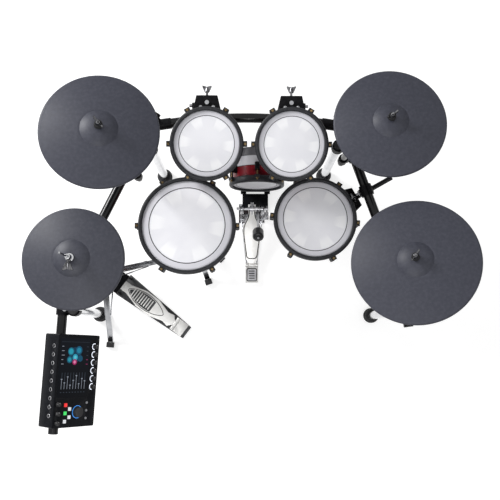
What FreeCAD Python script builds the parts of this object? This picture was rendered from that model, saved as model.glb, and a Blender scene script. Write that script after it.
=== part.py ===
# Electronic drum kit: tube rack, mesh drum pads, cymbal pads, two pedals and a sound module.
# The origin is on the floor under the middle of the kit. +X is the player's right, +Y points
# away from the player and +Z is up. Lengths are millimetres, angles are degrees.
import FreeCAD, Part
import math
import os
import Sketcher
from FreeCAD import Placement, Rotation, Vector

doc = FreeCAD.newDocument("electronic_drum_kit")
sheet = doc.addObject("Spreadsheet::Sheet", "sizes")
UP = Vector(0, 0, 1)
ALONG_X = Vector(1, 0, 0)
ALONG_Y = Vector(0, 1, 0)


class Size:
    """A length that knows its value and the sheet expression that gives it."""

    def __init__(self, value, text):
        self.value = value
        self.text = text

    @staticmethod
    def of(item):
        return item if isinstance(item, Size) else Size(float(item), repr(float(item)))

    def __add__(self, other):
        other = Size.of(other)
        return Size(self.value + other.value, f"({self.text} + {other.text})")

    def __sub__(self, other):
        other = Size.of(other)
        return Size(self.value - other.value, f"({self.text} - {other.text})")

    def __mul__(self, other):
        other = Size.of(other)
        return Size(self.value * other.value, f"({self.text} * {other.text})")

    def __truediv__(self, other):
        other = Size.of(other)
        return Size(self.value / other.value, f"({self.text} / {other.text})")

    __radd__ = __add__


row_count = 0


def size(name, value):
    """Write one driving dimension to the sheet."""
    global row_count
    row_count += 1
    sheet.set(f"A{row_count}", name)
    sheet.set(f"B{row_count}", str(value))
    sheet.setAlias(f"B{row_count}", name)
    return Size(float(value), f"sizes.{name}")


# Fits shared by the whole kit.
seat_gap = size("seat_gap", 0.15)
run_gap = size("run_gap", 0.3)

# Rack tubes and where they run.
tube_dia = size("tube_dia", 38.1)
tube_wall = size("tube_wall", 2.0)
rail_height = size("rail_height", 560)
bend_radius = size("bend_radius", 150)
left_joint_x = size("left_joint_x", -402.6)
left_joint_y = size("left_joint_y", 554)
left_bend_x = size("left_bend_x", -736)
left_bend_y = size("left_bend_y", -134.5)
left_end_x = size("left_end_x", -764)
left_end_y = size("left_end_y", -669)
right_joint_x = size("right_joint_x", 353.5)
right_joint_y = size("right_joint_y", 551)
right_bend_x = size("right_bend_x", 586)
right_bend_y = size("right_bend_y", -110)
right_end_x = size("right_end_x", 606)
right_end_y = size("right_end_y", -262)
rail_overrun = size("rail_overrun", 32)
corner_gap = size("corner_gap", 34)
back_bow = size("back_bow", 29)

# Legs, feet and caps.
leg_top_rise = size("leg_top_rise", 30)
foot_dia = size("foot_dia", 68)
foot_height = size("foot_height", 44)
foot_floor = size("foot_floor", 16)
foot_groove = size("foot_groove", 3)
cap_thick = size("cap_thick", 4)
cap_plug = size("cap_plug", 14)
leg_station_back_left = size("leg_station_back_left", 101)
leg_station_back_right = size("leg_station_back_right", 91)
leg_station_front_left = size("leg_station_front_left", 64)
leg_station_front_right = size("leg_station_front_right", 91)

# Clamps.
clamp_spacing = size("clamp_spacing", 46)
clamp_wall = size("clamp_wall", 6)
socket_wall = size("socket_wall", 3)
socket_root = size("socket_root", 0.85)
bolt_boss_dia = size("bolt_boss_dia", 24)
clamp_length = size("clamp_length", 44)
clamp_slot = size("clamp_slot", 3)
corner_sleeve = size("corner_sleeve", 46)
web_width = size("web_width", 26)
web_height = size("web_height", 54)
bolt_place = size("bolt_place", 0.3)
bolt_head_dia = size("bolt_head_dia", 16)
bolt_head_height = size("bolt_head_height", 5)
bolt_key_dia = size("bolt_key_dia", 9)
bolt_key_height = size("bolt_key_height", 10)
wing_span = size("wing_span", 30)
wing_thick = size("wing_thick", 5)
wing_height = size("wing_height", 12)

# Cymbal posts, booms and tilters.
post_dia = size("post_dia", 25.4)
post_drop = size("post_drop", 60)
boom_dia = size("boom_dia", 12.7)
ratchet_dia = size("ratchet_dia", 28)
ratchet_width = size("ratchet_width", 15)
knuckle_drop = size("knuckle_drop", 25)
tilter_rod_dia = size("tilter_rod_dia", 8)
seat_dia = size("seat_dia", 28)
seat_tip_dia = size("seat_tip_dia", 13)
seat_height = size("seat_height", 22)
rock_gap = size("rock_gap", 0.8)
stopper_dia = size("stopper_dia", 30)
stopper_height = size("stopper_height", 24)
wing_nut_dia = size("wing_nut_dia", 14)
wing_nut_height = size("wing_nut_height", 12)
rod_tip_rise = size("rod_tip_rise", 10)
crash_left_station = size("crash_left_station", 224)
crash_left_post_top = size("crash_left_post_top", 820)
crash_right_station = size("crash_right_station", 146)
crash_right_post_top = size("crash_right_post_top", 735)
ride_station = size("ride_station", 626)
ride_post_top = size("ride_post_top", 730)

# Cymbal pads.
crash_dia = size("crash_dia", 406)
ride_dia = size("ride_dia", 457)
hihat_dia = size("hihat_dia", 356)
bell_dia = size("bell_dia", 127)
bell_base_rise = size("bell_base_rise", 36)
bell_top_rise = size("bell_top_rise", 54)
pad_rim_rise = size("pad_rim_rise", 8)
pad_skin = size("pad_skin", 4)
pad_base = size("pad_base", 3)
pad_hole_dia = size("pad_hole_dia", 11)
bell_radius = size("bell_radius", 95)
bow_radius = size("bow_radius", 900)
rim_round = size("rim_round", 8)

# Drums.
shell_wall = size("shell_wall", 7)
bearing_edge = size("bearing_edge", 3)
snare_radius = size("snare_radius", 174)
tom_radius = size("tom_radius", 123)
floor_radius = size("floor_radius", 148.5)
kick_radius = size("kick_radius", 100)
tom_depth = size("tom_depth", 130)
snare_depth = size("snare_depth", 130)
floor_depth = size("floor_depth", 150)
kick_depth = size("kick_depth", 140)
head_skin = size("head_skin", 0.8)
collar_gap = size("collar_gap", 0.4)
collar_wall = size("collar_wall", 1.0)
flesh_width = size("flesh_width", 6.6)
flesh_drop = size("flesh_drop", 4)
flesh_height = size("flesh_height", 7)
hoop_inset = size("hoop_inset", 2)
hoop_width = size("hoop_width", 14.5)
hoop_rise = size("hoop_rise", 10)
hoop_skirt = size("hoop_skirt", 18)
hoop_round = size("hoop_round", 7)
hoop_lip_round = size("hoop_lip_round", 4)
ear_width = size("ear_width", 22)
ear_reach = size("ear_reach", 30)
ear_height = size("ear_height", 12)
lug_count = size("lug_count", 6)
lug_width = size("lug_width", 20)
lug_height = size("lug_height", 30)
lug_drop = size("lug_drop", 40)
lug_round = size("lug_round", 6)
tension_rod_dia = size("tension_rod_dia", 5.8)
tension_rod_reach = size("tension_rod_reach", 22.3)
tension_head_dia = size("tension_head_dia", 11)
tension_head_height = size("tension_head_height", 8)
trigger_drop = size("trigger_drop", 48)
trigger_plate = size("trigger_plate", 3)
cone_base_dia = size("cone_base_dia", 40)
cone_tip_dia = size("cone_tip_dia", 18)
bottom_plate = size("bottom_plate", 3)

# Drum places: the centre of each head.
snare_x = size("snare_x", -257)
snare_y = size("snare_y", 126)
snare_rise = size("snare_rise", 44)
snare_z = rail_height + snare_rise
floor_x = size("floor_x", 246)
floor_y = size("floor_y", 158)
floor_rise = size("floor_rise", 5)
floor_z = rail_height + floor_rise
floor_arm_turn = size("floor_arm_turn", 29.5)
floor_lug_turn = size("floor_lug_turn", -5)
tom_left_x = size("tom_left_x", -177)
tom_right_x = size("tom_right_x", 144)
tom_tilt = size("tom_tilt", 13)
tom_rise = size("tom_rise", 210)

# Tom brackets and L-rods.
bracket_inner_width = size("bracket_inner_width", 104)
bracket_outer_width = size("bracket_outer_width", 80)
bracket_reach = size("bracket_reach", 60)
floor_bracket_reach = size("floor_bracket_reach", 48)
bracket_step = size("bracket_step", 8)
bracket_height = size("bracket_height", 44)
spare_hole_dia = size("spare_hole_dia", 5)
bracket_drop = size("bracket_drop", 32)
bracket_rod_reach = size("bracket_rod_reach", 34)
lrod_dia = size("lrod_dia", 12.7)
lrod_bend = size("lrod_bend", 18)
lrod_overrun = size("lrod_overrun", 8)
stub_length = size("stub_length", 78)
stub_clamp_offset = size("stub_clamp_offset", 52)
stub_clamp_length = size("stub_clamp_length", 30)
stub_spacing = size("stub_spacing", 60)
wing_bolt_dia = size("wing_bolt_dia", 8)
wing_bolt_length = size("wing_bolt_length", 26)
floor_arm_dia = size("floor_arm_dia", 20)
floor_arm_length = size("floor_arm_length", 196)
floor_arm_bury = size("floor_arm_bury", 30)

# Kick drum, tower and pedal.
kick_x = size("kick_x", 19)
kick_head_y = size("kick_head_y", 338)
kick_z = size("kick_z", 355)
tower_width = size("tower_width", 137)
tower_front_y = size("tower_front_y", 372)
tower_length = size("tower_length", 96)
tower_wall = size("tower_wall", 5)
tower_notch_width = size("tower_notch_width", 40)
tower_notch_depth = size("tower_notch_depth", 38)
tower_foot_length = size("tower_foot_length", 210)
tower_foot_lead = size("tower_foot_lead", 8)
tower_foot_width = size("tower_foot_width", 26)
tower_foot_height = size("tower_foot_height", 14)
clamp_plate_width = size("clamp_plate_width", 120)
clamp_plate_length = size("clamp_plate_length", 78)
clamp_plate_thick = size("clamp_plate_thick", 4)
pedal_x = size("pedal_x", 2)
axle_y = size("axle_y", 262)
axle_z = size("axle_z", 190)
axle_dia = size("axle_dia", 12)
axle_length = size("axle_length", 138)
pillar_spacing = size("pillar_spacing", 92)
pillar_width = size("pillar_width", 14)
pillar_depth = size("pillar_depth", 34)
bearing_boss_dia = size("bearing_boss_dia", 34)
pedal_plate_thick = size("pedal_plate_thick", 5)
pedal_plate_back_y = size("pedal_plate_back_y", 316)
pedal_plate_front_y = size("pedal_plate_front_y", 226)
heel_hinge_y = size("heel_hinge_y", 26)
heel_hinge_z = size("heel_hinge_z", 30)
heel_length = size("heel_length", 72)
heel_width = size("heel_width", 58)
heel_thick = size("heel_thick", 12)
hinge_pin_dia = size("hinge_pin_dia", 8)
hinge_knuckle_dia = size("hinge_knuckle_dia", 18)
hinge_knuckle_width = size("hinge_knuckle_width", 28)
radius_rod_dia = size("radius_rod_dia", 7)
radius_rod_lift = size("radius_rod_lift", 1)
radius_rod_bury = size("radius_rod_bury", 8)
footboard_slope = size("footboard_slope", 14.5)
footboard_thick = size("footboard_thick", 8)
footboard_toe_width = size("footboard_toe_width", 34)
footboard_waist_width = size("footboard_waist_width", 84)
footboard_heel_width = size("footboard_heel_width", 52)
footboard_start = size("footboard_start", 12)
footboard_flare = size("footboard_flare", 14)
footboard_shoulder = size("footboard_shoulder", 34)
footboard_shoulder_inset = size("footboard_shoulder_inset", 2)
footboard_toe_run = size("footboard_toe_run", 52)
footboard_waist = size("footboard_waist", 148)
footboard_length = size("footboard_length", 280)
toe_clip_length = size("toe_clip_length", 22)
toe_clip_width = size("toe_clip_width", 22)
toe_clip_height = size("toe_clip_height", 6)
sprocket_radius = size("sprocket_radius", 26)
sprocket_width = size("sprocket_width", 5)
sprocket_hub_dia = size("sprocket_hub_dia", 26)
sprocket_hub_width = size("sprocket_hub_width", 20)
tooth_count = size("tooth_count", 17)
tooth_phase = size("tooth_phase", 0.75)
tooth_width = size("tooth_width", 3)
tooth_height = size("tooth_height", 4)
chain_room = size("chain_room", 0.5)
chain_pitch = size("chain_pitch", 12.7)
chain_links = size("chain_links", 6)
chain_plate_height = size("chain_plate_height", 9)
chain_plate_thick = size("chain_plate_thick", 1.4)
chain_roller_dia = size("chain_roller_dia", 5)
chain_inner_width = size("chain_inner_width", 7)
beater_lean = size("beater_lean", 48)
beater_length = size("beater_length", 175)
beater_shaft_dia = size("beater_shaft_dia", 9)
beater_offset = size("beater_offset", 24)
beater_dia = size("beater_dia", 48)
beater_height = size("beater_height", 50)
beater_round = size("beater_round", 8)
beater_arc = size("beater_arc", 10)
beater_hub_dia = size("beater_hub_dia", 24)
beater_hub_width = size("beater_hub_width", 18)
rocker_reach = size("rocker_reach", 24)
rocker_width = size("rocker_width", 8)
rocker_dia = size("rocker_dia", 26)
spring_mean_dia = size("spring_mean_dia", 14)
spring_wire_dia = size("spring_wire_dia", 2.4)
spring_turns = size("spring_turns", 8)
anchor_lip = size("anchor_lip", 12)
anchor_thick = size("anchor_thick", 8)
spring_foot_z = size("spring_foot_z", 62)

# Hi-hat stand and pedal.
hihat_x = size("hihat_x", -625)
hihat_y = size("hihat_y", -38)
hihat_rim_z = size("hihat_rim_z", 910)
hihat_pedal_turn = size("hihat_pedal_turn", -37)
stand_tube_dia = size("stand_tube_dia", 25.4)
stand_upper_dia = size("stand_upper_dia", 19)
stand_tube_wall = size("stand_tube_wall", 2)
hihat_tube_foot = size("hihat_tube_foot", 118)
hihat_lower_top = size("hihat_lower_top", 560)
hihat_upper_top = size("hihat_upper_top", 872)
hihat_tube_overlap = size("hihat_tube_overlap", 60)
hihat_joint_dia = size("hihat_joint_dia", 36)
hihat_joint_height = size("hihat_joint_height", 36)
stirrup_wall = size("stirrup_wall", 4)
stirrup_depth = size("stirrup_depth", 14)
stirrup_room = size("stirrup_room", 1.4)
controller_dia = size("controller_dia", 66)
controller_height = size("controller_height", 22)
tripod_radius = size("tripod_radius", 285)
tripod_collar_z = size("tripod_collar_z", 300)
tripod_stay_z = size("tripod_stay_z", 160)
tripod_collar_dia = size("tripod_collar_dia", 42)
tripod_collar_height = size("tripod_collar_height", 28)
strip_width = size("strip_width", 16)
strip_thick = size("strip_thick", 3)
strip_spacing = size("strip_spacing", 20)
strip_start = size("strip_start", 29)
collar_ear_start = size("collar_ear_start", 17)
collar_ear_length = size("collar_ear_length", 20)
stand_foot_dia = size("stand_foot_dia", 24)
stay_reach = size("stay_reach", 0.55)
hihat_leg_spread = size("hihat_leg_spread", 57)
pull_rod_dia = size("pull_rod_dia", 7)
pull_rod_rise = size("pull_rod_rise", 210)
pull_rod_top = hihat_rim_z + pull_rod_rise
clutch_dia = size("clutch_dia", 10.4)
clutch_body_dia = size("clutch_body_dia", 18)
clutch_cone = size("clutch_cone", 6)
clutch_rise = size("clutch_rise", 46)
clutch_wing_drop = size("clutch_wing_drop", 12)
clutch_nut_dia = size("clutch_nut_dia", 28)
clutch_nut_height = size("clutch_nut_height", 12)
hihat_base_length = size("hihat_base_length", 372)
hihat_base_front_width = size("hihat_base_front_width", 112)
hihat_base_heel_width = size("hihat_base_heel_width", 64)
hihat_base_thick = size("hihat_base_thick", 6)
hihat_base_start = size("hihat_base_start", 40)
hihat_heel_length = size("hihat_heel_length", 44)
hihat_hinge_reach = size("hihat_hinge_reach", 345)
hihat_board_length = size("hihat_board_length", 356)
hihat_board_toe_width = size("hihat_board_toe_width", 44)
hihat_board_heel_width = size("hihat_board_heel_width", 60)
hihat_board_neck_width = size("hihat_board_neck_width", 48)
hihat_board_belly_width = size("hihat_board_belly_width", 86)
hihat_neck_reach = size("hihat_neck_reach", 56)
hihat_belly_start = size("hihat_belly_start", 122)
hihat_belly_end = size("hihat_belly_end", 190)
hihat_toe_start = size("hihat_toe_start", 262)
hihat_board_slope = size("hihat_board_slope", 8)
hihat_arch_width = size("hihat_arch_width", 96)
hihat_arch_thick = size("hihat_arch_thick", 10)

# Snare stand.
snare_tripod_radius = size("snare_tripod_radius", 168)
snare_collar_z = size("snare_collar_z", 250)
snare_stay_z = size("snare_stay_z", 110)
snare_tube_foot = size("snare_tube_foot", 80)
snare_pivot_drop = size("snare_pivot_drop", 190)
snare_leg_turn = size("snare_leg_turn", -71.6)
basket_turn = size("basket_turn", 197)
basket_arm_width = size("basket_arm_width", 14)
basket_arm_thick = size("basket_arm_thick", 7)
basket_hub_dia = size("basket_hub_dia", 46)
basket_hub_height = size("basket_hub_height", 22)
grip_width = size("grip_width", 26)
grip_thick = size("grip_thick", 16)
grip_height = size("grip_height", 40)
grip_gap = size("grip_gap", 0.3)

# Sound module: the case in its own frame, width across the face, length along the rail.
module_width = size("module_width", 200)
module_length = size("module_length", 344)
module_depth = size("module_depth", 76)
module_round = size("module_round", 6)
module_slope = size("module_slope", 53)
module_rail_station = size("module_rail_station", 330)
module_shift = size("module_shift", -4)
module_split = size("module_split", 0.6)
mount_plate_length = size("mount_plate_length", 120)
mount_plate_width = size("mount_plate_width", 90)
mount_plate_thick = size("mount_plate_thick", 5)
mount_ring_wall = size("mount_ring_wall", 6)
mount_ring_length = size("mount_ring_length", 40)
screen_width = size("screen_width", 146)
screen_length = size("screen_length", 218)
screen_thick = size("screen_thick", 4)
screen_proud = size("screen_proud", 0.6)
screen_offset_x = size("screen_offset_x", 10)
screen_offset_y = size("screen_offset_y", 15)
encoder_dia = size("encoder_dia", 17)
encoder_height = size("encoder_height", 15)
encoder_x = size("encoder_x", 177)
encoder_first_y = size("encoder_first_y", 43)
encoder_pitch = size("encoder_pitch", 30.4)
encoder_count = size("encoder_count", 6)
dial_dia = size("dial_dia", 42)
dial_height = size("dial_height", 14)
dial_x = size("dial_x", 114)
dial_y = size("dial_y", 288)
volume_dia = size("volume_dia", 16)
volume_height = size("volume_height", 14)
volume_x = size("volume_x", 18)
volume_first_y = size("volume_first_y", 258)
volume_pitch = size("volume_pitch", 34)
volume_count = size("volume_count", 3)
button_side = size("button_side", 13)
button_proud = size("button_proud", 2.4)
button_depth = size("button_depth", 5)
button_x = size("button_x", 56)
button_first_y = size("button_first_y", 261)
button_pitch = size("button_pitch", 30)
button_step_x = size("button_step_x", 20)
round_button_dia = size("round_button_dia", 9)
round_button_x = size("round_button_x", 157)
round_button_first_y = size("round_button_first_y", 255)
round_button_pitch = size("round_button_pitch", 29)
round_button_count = size("round_button_count", 3)
button_travel_room = size("button_travel_room", 1.6)
knob_shaft_dia = size("knob_shaft_dia", 6)
knob_shaft_length = size("knob_shaft_length", 8)
jack_dia = size("jack_dia", 10)
jack_recess = size("jack_recess", 5)
jack_count = size("jack_count", 9)
jack_pitch = size("jack_pitch", 32)
doc.recompute()


# Helpers that make one document object each.

def origin_plane(body, role):
    return next(item for item in body.Origin.OriginFeatures if item.Role == role)


def closed_sketch(body, role, points):
    """Sketch a closed outline. A point is (x, y) or (x, y, radius, turn) where an arc starts."""
    sketch = body.newObject("Sketcher::SketchObject", f"{body.Name}_outline")
    sketch.AttachmentSupport = [(origin_plane(body, role), "")]
    sketch.MapMode = "FlatFace"
    places = [Vector(Size.of(point[0]).value, Size.of(point[1]).value, 0) for point in points]
    ends = []
    for index, point in enumerate(points):
        start = places[index]
        stop = places[(index + 1) % len(points)]
        if len(point) == 2:
            sketch.addGeometry(Part.LineSegment(start, stop))
            ends.append((1, 2))
            continue
        radius = Size.of(point[2]).value
        turn = point[3]
        chord = stop - start
        middle = (start + stop) * 0.5
        side = Vector(-chord.y, chord.x, 0).normalize() * turn
        rise = math.sqrt(max(radius ** 2 - (chord.Length / 2) ** 2, 0.0))
        crown = middle + side * (rise - radius)
        sketch.addGeometry(Part.Arc(start, crown, stop))
        ends.append((1, 2) if turn > 0 else (2, 1))
    for index in range(len(points)):
        following = (index + 1) % len(points)
        joint = Sketcher.Constraint("Coincident", index, ends[index][1], following, ends[following][0])
        sketch.addConstraint(joint)
    for index, point in enumerate(points):
        vertex = ends[index][0]
        pin_vertex(sketch, "DistanceX", index, vertex, Size.of(point[0]), -2)
        pin_vertex(sketch, "DistanceY", index, vertex, Size.of(point[1]), -1)
        if len(point) == 4:
            radius = Size.of(point[2])
            number = sketch.addConstraint(Sketcher.Constraint("Radius", index, radius.value))
            sketch.setExpression(f"Constraints[{number}]", radius.text)
    return sketch


def pin_vertex(sketch, kind, index, vertex, distance, axis):
    """Tie one coordinate of a vertex to the sheet, or to the sketch axis where it is zero."""
    if abs(distance.value) < 1e-9:
        sketch.addConstraint(Sketcher.Constraint("PointOnObject", index, vertex, axis))
        return
    number = sketch.addConstraint(Sketcher.Constraint(kind, -1, 1, index, vertex, distance.value))
    sketch.setExpression(f"Constraints[{number}]", distance.text)


def turned(name, points, place=Placement()):
    """A solid of revolution about its own Z axis. Points are (radius, height)."""
    body = doc.addObject("PartDesign::Body", name)
    sketch = closed_sketch(body, "XZ_Plane", points)
    feature = body.newObject("PartDesign::Revolution", f"{name}_turn")
    feature.Profile = sketch
    feature.ReferenceAxis = (sketch, ["V_Axis"])
    feature.Angle = 360
    body.Tip = feature
    body.Placement = place
    return body


def padded(name, points, thickness, place=Placement(), role="XY_Plane"):
    """An outline padded to a thickness, along +Z for XY_Plane and along +X for YZ_Plane."""
    body = doc.addObject("PartDesign::Body", name)
    sketch = closed_sketch(body, role, points)
    feature = body.newObject("PartDesign::Pad", f"{name}_pad")
    feature.Profile = sketch
    feature.setExpression("Length", Size.of(thickness).text)
    body.Tip = feature
    body.Placement = place
    return body


def cylinder(name, diameter, height, place=Placement()):
    item = doc.addObject("Part::Cylinder", name)
    item.setExpression("Radius", (Size.of(diameter) / 2).text)
    item.setExpression("Height", Size.of(height).text)
    item.Placement = place
    return item


def cone(name, lower, upper, height, place=Placement()):
    item = doc.addObject("Part::Cone", name)
    item.setExpression("Radius1", (Size.of(lower) / 2).text)
    item.setExpression("Radius2", (Size.of(upper) / 2).text)
    item.setExpression("Height", Size.of(height).text)
    item.Placement = place
    return item


def block(name, length, width, height, place=Placement()):
    """A box centred on its place in X and Y, standing on it in Z."""
    length, width, height = Size.of(length), Size.of(width), Size.of(height)
    item = doc.addObject("Part::Box", name)
    item.setExpression("Length", length.text)
    item.setExpression("Width", width.text)
    item.setExpression("Height", height.text)
    item.Placement = place * Placement(Vector(-length.value / 2, -width.value / 2, 0), Rotation())
    return item


def fused(name, items):
    item = doc.addObject("Part::MultiFuse", name)
    item.Shapes = items
    return item


def cut(name, base, tools):
    item = doc.addObject("Part::Cut", name)
    item.Base = base
    item.Tool = tools[0] if len(tools) == 1 else fused(f"{name}_tools", tools)
    return item


def tube(name, diameter, wall, height, place=Placement()):
    outer = cylinder(f"{name}_outer", diameter, height, place)
    inner = cylinder(f"{name}_inner", Size.of(diameter) - Size.of(wall) * 2, height, place)
    return cut(name, outer, [inner])


def swept(name, edges, diameter):
    """A round bar along a chain of tangent lines and arcs."""
    path = doc.addObject("Part::Feature", f"{name}_path")
    path.Shape = Part.Wire(edges)
    start = edges[0].valueAt(edges[0].FirstParameter)
    heading = edges[0].tangentAt(edges[0].FirstParameter)
    ring = doc.addObject("Part::Circle", f"{name}_section")
    ring.setExpression("Radius", (Size.of(diameter) / 2).text)
    ring.Placement = Placement(start, Rotation(UP, heading))
    item = doc.addObject("Part::Sweep", name)
    item.Sections = [ring]
    item.Spine = (path, [f"Edge{number + 1}" for number in range(len(edges))])
    item.Solid = True
    item.Frenet = False
    return item


def copies(name, source, places):
    """One object of several placed copies of a finished piece."""
    doc.recompute()
    shapes = []
    for place in places:
        shape = source.Shape.copy()
        shape.Placement = place * source.Placement
        shapes.append(shape)
    item = doc.addObject("Part::Feature", name)
    item.Shape = Part.makeCompound(shapes)
    return item


nodes = []


def node(label, items):
    """Name a sub-part. Several pieces that share a node stay separate solids."""
    if len(items) == 1:
        item = items[0]
    else:
        item = doc.addObject("Part::Compound", label)
        item.Links = items
    item.Label = label
    nodes.append(item)
    return item


def along(point, direction, start=0.0):
    """A place whose Z axis points in a direction, moved along it from a point."""
    heading = Vector(direction).normalize()
    return Placement(point + heading * start, Rotation(UP, heading))


def at(x, y, z, axis=UP, turn=0.0):
    return Placement(Vector(x, y, z), Rotation(axis, turn))


def polar(count, first=0.0):
    return [at(0, 0, 0, UP, first + index * 360.0 / count) for index in range(int(count))]


def frame_of(origin, x_axis, z_axis):
    """A place from its X and Z directions."""
    return Placement(origin, Rotation(Vector(x_axis), Vector(), Vector(z_axis), "ZXY"))


# Rail routes.

def corner_path(points, radius):
    """Straight runs through three points, with one tangent arc at the middle point."""
    first, corner, last = points
    into = (corner - first).normalize()
    out = (last - corner).normalize()
    turn = into.getAngle(out)
    setback = radius * math.tan(turn / 2)
    begin = corner - into * setback
    finish = corner + out * setback
    bisector = (out - into).normalize()
    centre = corner + bisector * (radius / math.cos(turn / 2))
    crown = centre - bisector * radius
    bend = Part.Arc(begin, crown, finish).toShape()
    return [Part.LineSegment(first, begin).toShape(), bend, Part.LineSegment(finish, last).toShape()]


class SideRail:
    """A bent side rail with stations measured from its back joint or from its bend."""

    def __init__(self, joint, bend, end, inward_sign):
        self.joint, self.bend, self.end = joint, bend, end
        self.rear = (bend - joint).normalize()
        self.front = (end - bend).normalize()
        self.inward_sign = inward_sign
        self.start = joint - self.rear * rail_overrun.value

    def inward(self, heading):
        return UP.cross(heading) * self.inward_sign

    def rear_station(self, distance):
        return self.joint + self.rear * distance, self.rear

    def front_station(self, distance):
        return self.bend + self.front * distance, self.front


rail_z = rail_height.value
left_rail = SideRail(
    Vector(left_joint_x.value, left_joint_y.value, rail_z),
    Vector(left_bend_x.value, left_bend_y.value, rail_z),
    Vector(left_end_x.value, left_end_y.value, rail_z), 1)
right_rail = SideRail(
    Vector(right_joint_x.value, right_joint_y.value, rail_z),
    Vector(right_bend_x.value, right_bend_y.value, rail_z),
    Vector(right_end_x.value, right_end_y.value, rail_z), -1)
tube_bore = tube_dia - tube_wall * 2


def side_rail_tube(name, rail):
    path = corner_path([rail.start, rail.bend, rail.end], bend_radius.value)
    outer = swept(f"{name}_outer", path, tube_dia)
    inner = swept(f"{name}_bore", path, tube_bore)
    return cut(name, outer, [inner])


node("side_rails", [side_rail_tube("left_rail_tube", left_rail),
                    side_rail_tube("right_rail_tube", right_rail)])

# The back rail bows away from the player between the two corner joints.
back_left = left_rail.joint + left_rail.inward(left_rail.rear) * corner_gap.value
back_right = right_rail.joint + right_rail.inward(right_rail.rear) * corner_gap.value
back_chord = back_right - back_left
back_middle = (back_left + back_right) * 0.5
bow_way = UP.cross(back_chord).normalize()
back_radius = (back_chord.Length ** 2 / 4 + back_bow.value ** 2) / (2 * back_bow.value)
back_centre = back_middle + bow_way * (back_bow.value - back_radius)
back_arc = [Part.Arc(back_left, back_middle + bow_way * back_bow.value, back_right).toShape()]
back_outer = swept("back_rail_outer", back_arc, tube_dia)
back_inner = swept("back_rail_bore", back_arc, tube_bore)
node("back_rail", [cut("back_rail_tube", back_outer, [back_inner])])


def back_station(x):
    """The point of the back rail's axis at one X, and the rail's heading there."""
    reach = x - back_centre.x
    spoke = Vector(reach, math.sqrt(back_radius ** 2 - reach ** 2), 0)
    return back_centre + spoke, Vector(spoke.y, -spoke.x, 0).normalize()


# Clamps, posts and legs.
clamp_items = []
bolt_items = []


def sleeve_clamp(name, first, second, bolt_up=UP, socket=False):
    """A split clamp with a sleeve on each of two bars. A bar is (point, heading, diameter, length)."""
    way = second[0] - first[0]
    spread = way.Length
    way.normalize()
    sleeves = []
    bores = []
    for bar, away in ((first, way * -1), (second, way)):
        point, heading, diameter, length = bar
        # A socket is blind, because its bar starts inside the clamp, and its sleeve reaches the other one.
        blind = socket and bar is second
        wall = socket_wall if blind else clamp_wall
        root = spread * socket_root.value if blind else length.value / 2
        sleeve_length = length / 2 + root
        sleeves.append(cylinder(f"{name}_sleeve", diameter + wall * 2, sleeve_length,
                                along(point, heading, -root)))
        bore_start = -length.value / 2 - seat_gap.value if blind else -length.value
        bore = cylinder(f"{name}_bore", diameter + seat_gap * 2, length * 2,
                        along(point, heading, bore_start))
        bores.append(bore)
        # A bar that runs straight out of the clamp has its slit underneath.
        slit_way = UP * -1 if abs(away.dot(heading)) > 0.7 else away
        slit_frame = frame_of(point + heading * bore_start, slit_way, heading)
        slit_length = diameter / 2 + clamp_wall * 2
        slit = block(f"{name}_slit", slit_length, clamp_slot, length * 2, slit_frame)
        slit.Placement = slit_frame * Placement(Vector(0, -clamp_slot.value / 2, 0), Rotation())
        bores.append(slit)
    web_frame = frame_of(first[0], way, bolt_up)
    bolt_foot = web_frame * at(spread * bolt_place.value, 0, web_height.value / 2)
    if socket:
        web = cylinder(f"{name}_boss", bolt_boss_dia, web_height, bolt_foot * at(0, 0, -web_height.value))
    else:
        web = block(f"{name}_web", spread, web_width, web_height,
                    web_frame * at(spread / 2, 0, -web_height.value / 2))
    clamp_items.append(cut(name, fused(f"{name}_body", sleeves + [web]), bores))
    return bolt_foot


def key_bolt(name, place):
    """A drum-key bolt standing on a flat."""
    points = [
        (0, 0), (bolt_head_dia / 2, 0), (bolt_head_dia / 2, bolt_head_height),
        (bolt_key_dia / 2, bolt_head_height), (bolt_key_dia / 2, bolt_head_height + bolt_key_height),
        (0, bolt_head_height + bolt_key_height)]
    bolt_items.append(turned(name, points, place))


def upright_on(rail, station):
    """The foot point of an upright beside a rail."""
    point, heading = station
    return point + rail.inward(heading) * clamp_spacing.value


leg_spots = {
    "back_left": (left_rail, left_rail.rear_station(leg_station_back_left.value)),
    "back_right": (right_rail, right_rail.rear_station(leg_station_back_right.value)),
    "front_left": (left_rail, left_rail.front_station(leg_station_front_left.value)),
    "front_right": (right_rail, right_rail.front_station(leg_station_front_right.value)),
}
leg_length = rail_height + leg_top_rise - foot_floor
foot_points = [
    (0, 0), (foot_dia / 2 - foot_groove, 0), (foot_dia / 2, foot_groove), (foot_dia / 2, foot_height * 0.3),
    (foot_dia / 2 - foot_groove, foot_height * 0.35), (foot_dia / 2 - foot_groove, foot_height * 0.45),
    (foot_dia / 2, foot_height * 0.5), (foot_dia / 2, foot_height * 0.65),
    (foot_dia / 2 - foot_groove, foot_height * 0.7), (foot_dia / 2 - foot_groove, foot_height * 0.8),
    (foot_dia / 2 - foot_groove * 2, foot_height), (tube_dia / 2 + seat_gap, foot_height),
    (tube_dia / 2 + seat_gap, foot_floor), (0, foot_floor)]
cap_points = [
    (0, 0), (tube_bore / 2 - seat_gap, 0), (tube_bore / 2 - seat_gap, cap_plug), (tube_dia / 2, cap_plug),
    (tube_dia / 2, cap_plug + cap_thick - 1), (tube_dia / 2 - 1, cap_plug + cap_thick),
    (0, cap_plug + cap_thick)]
leg_items = []
rubber_items = []
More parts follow.
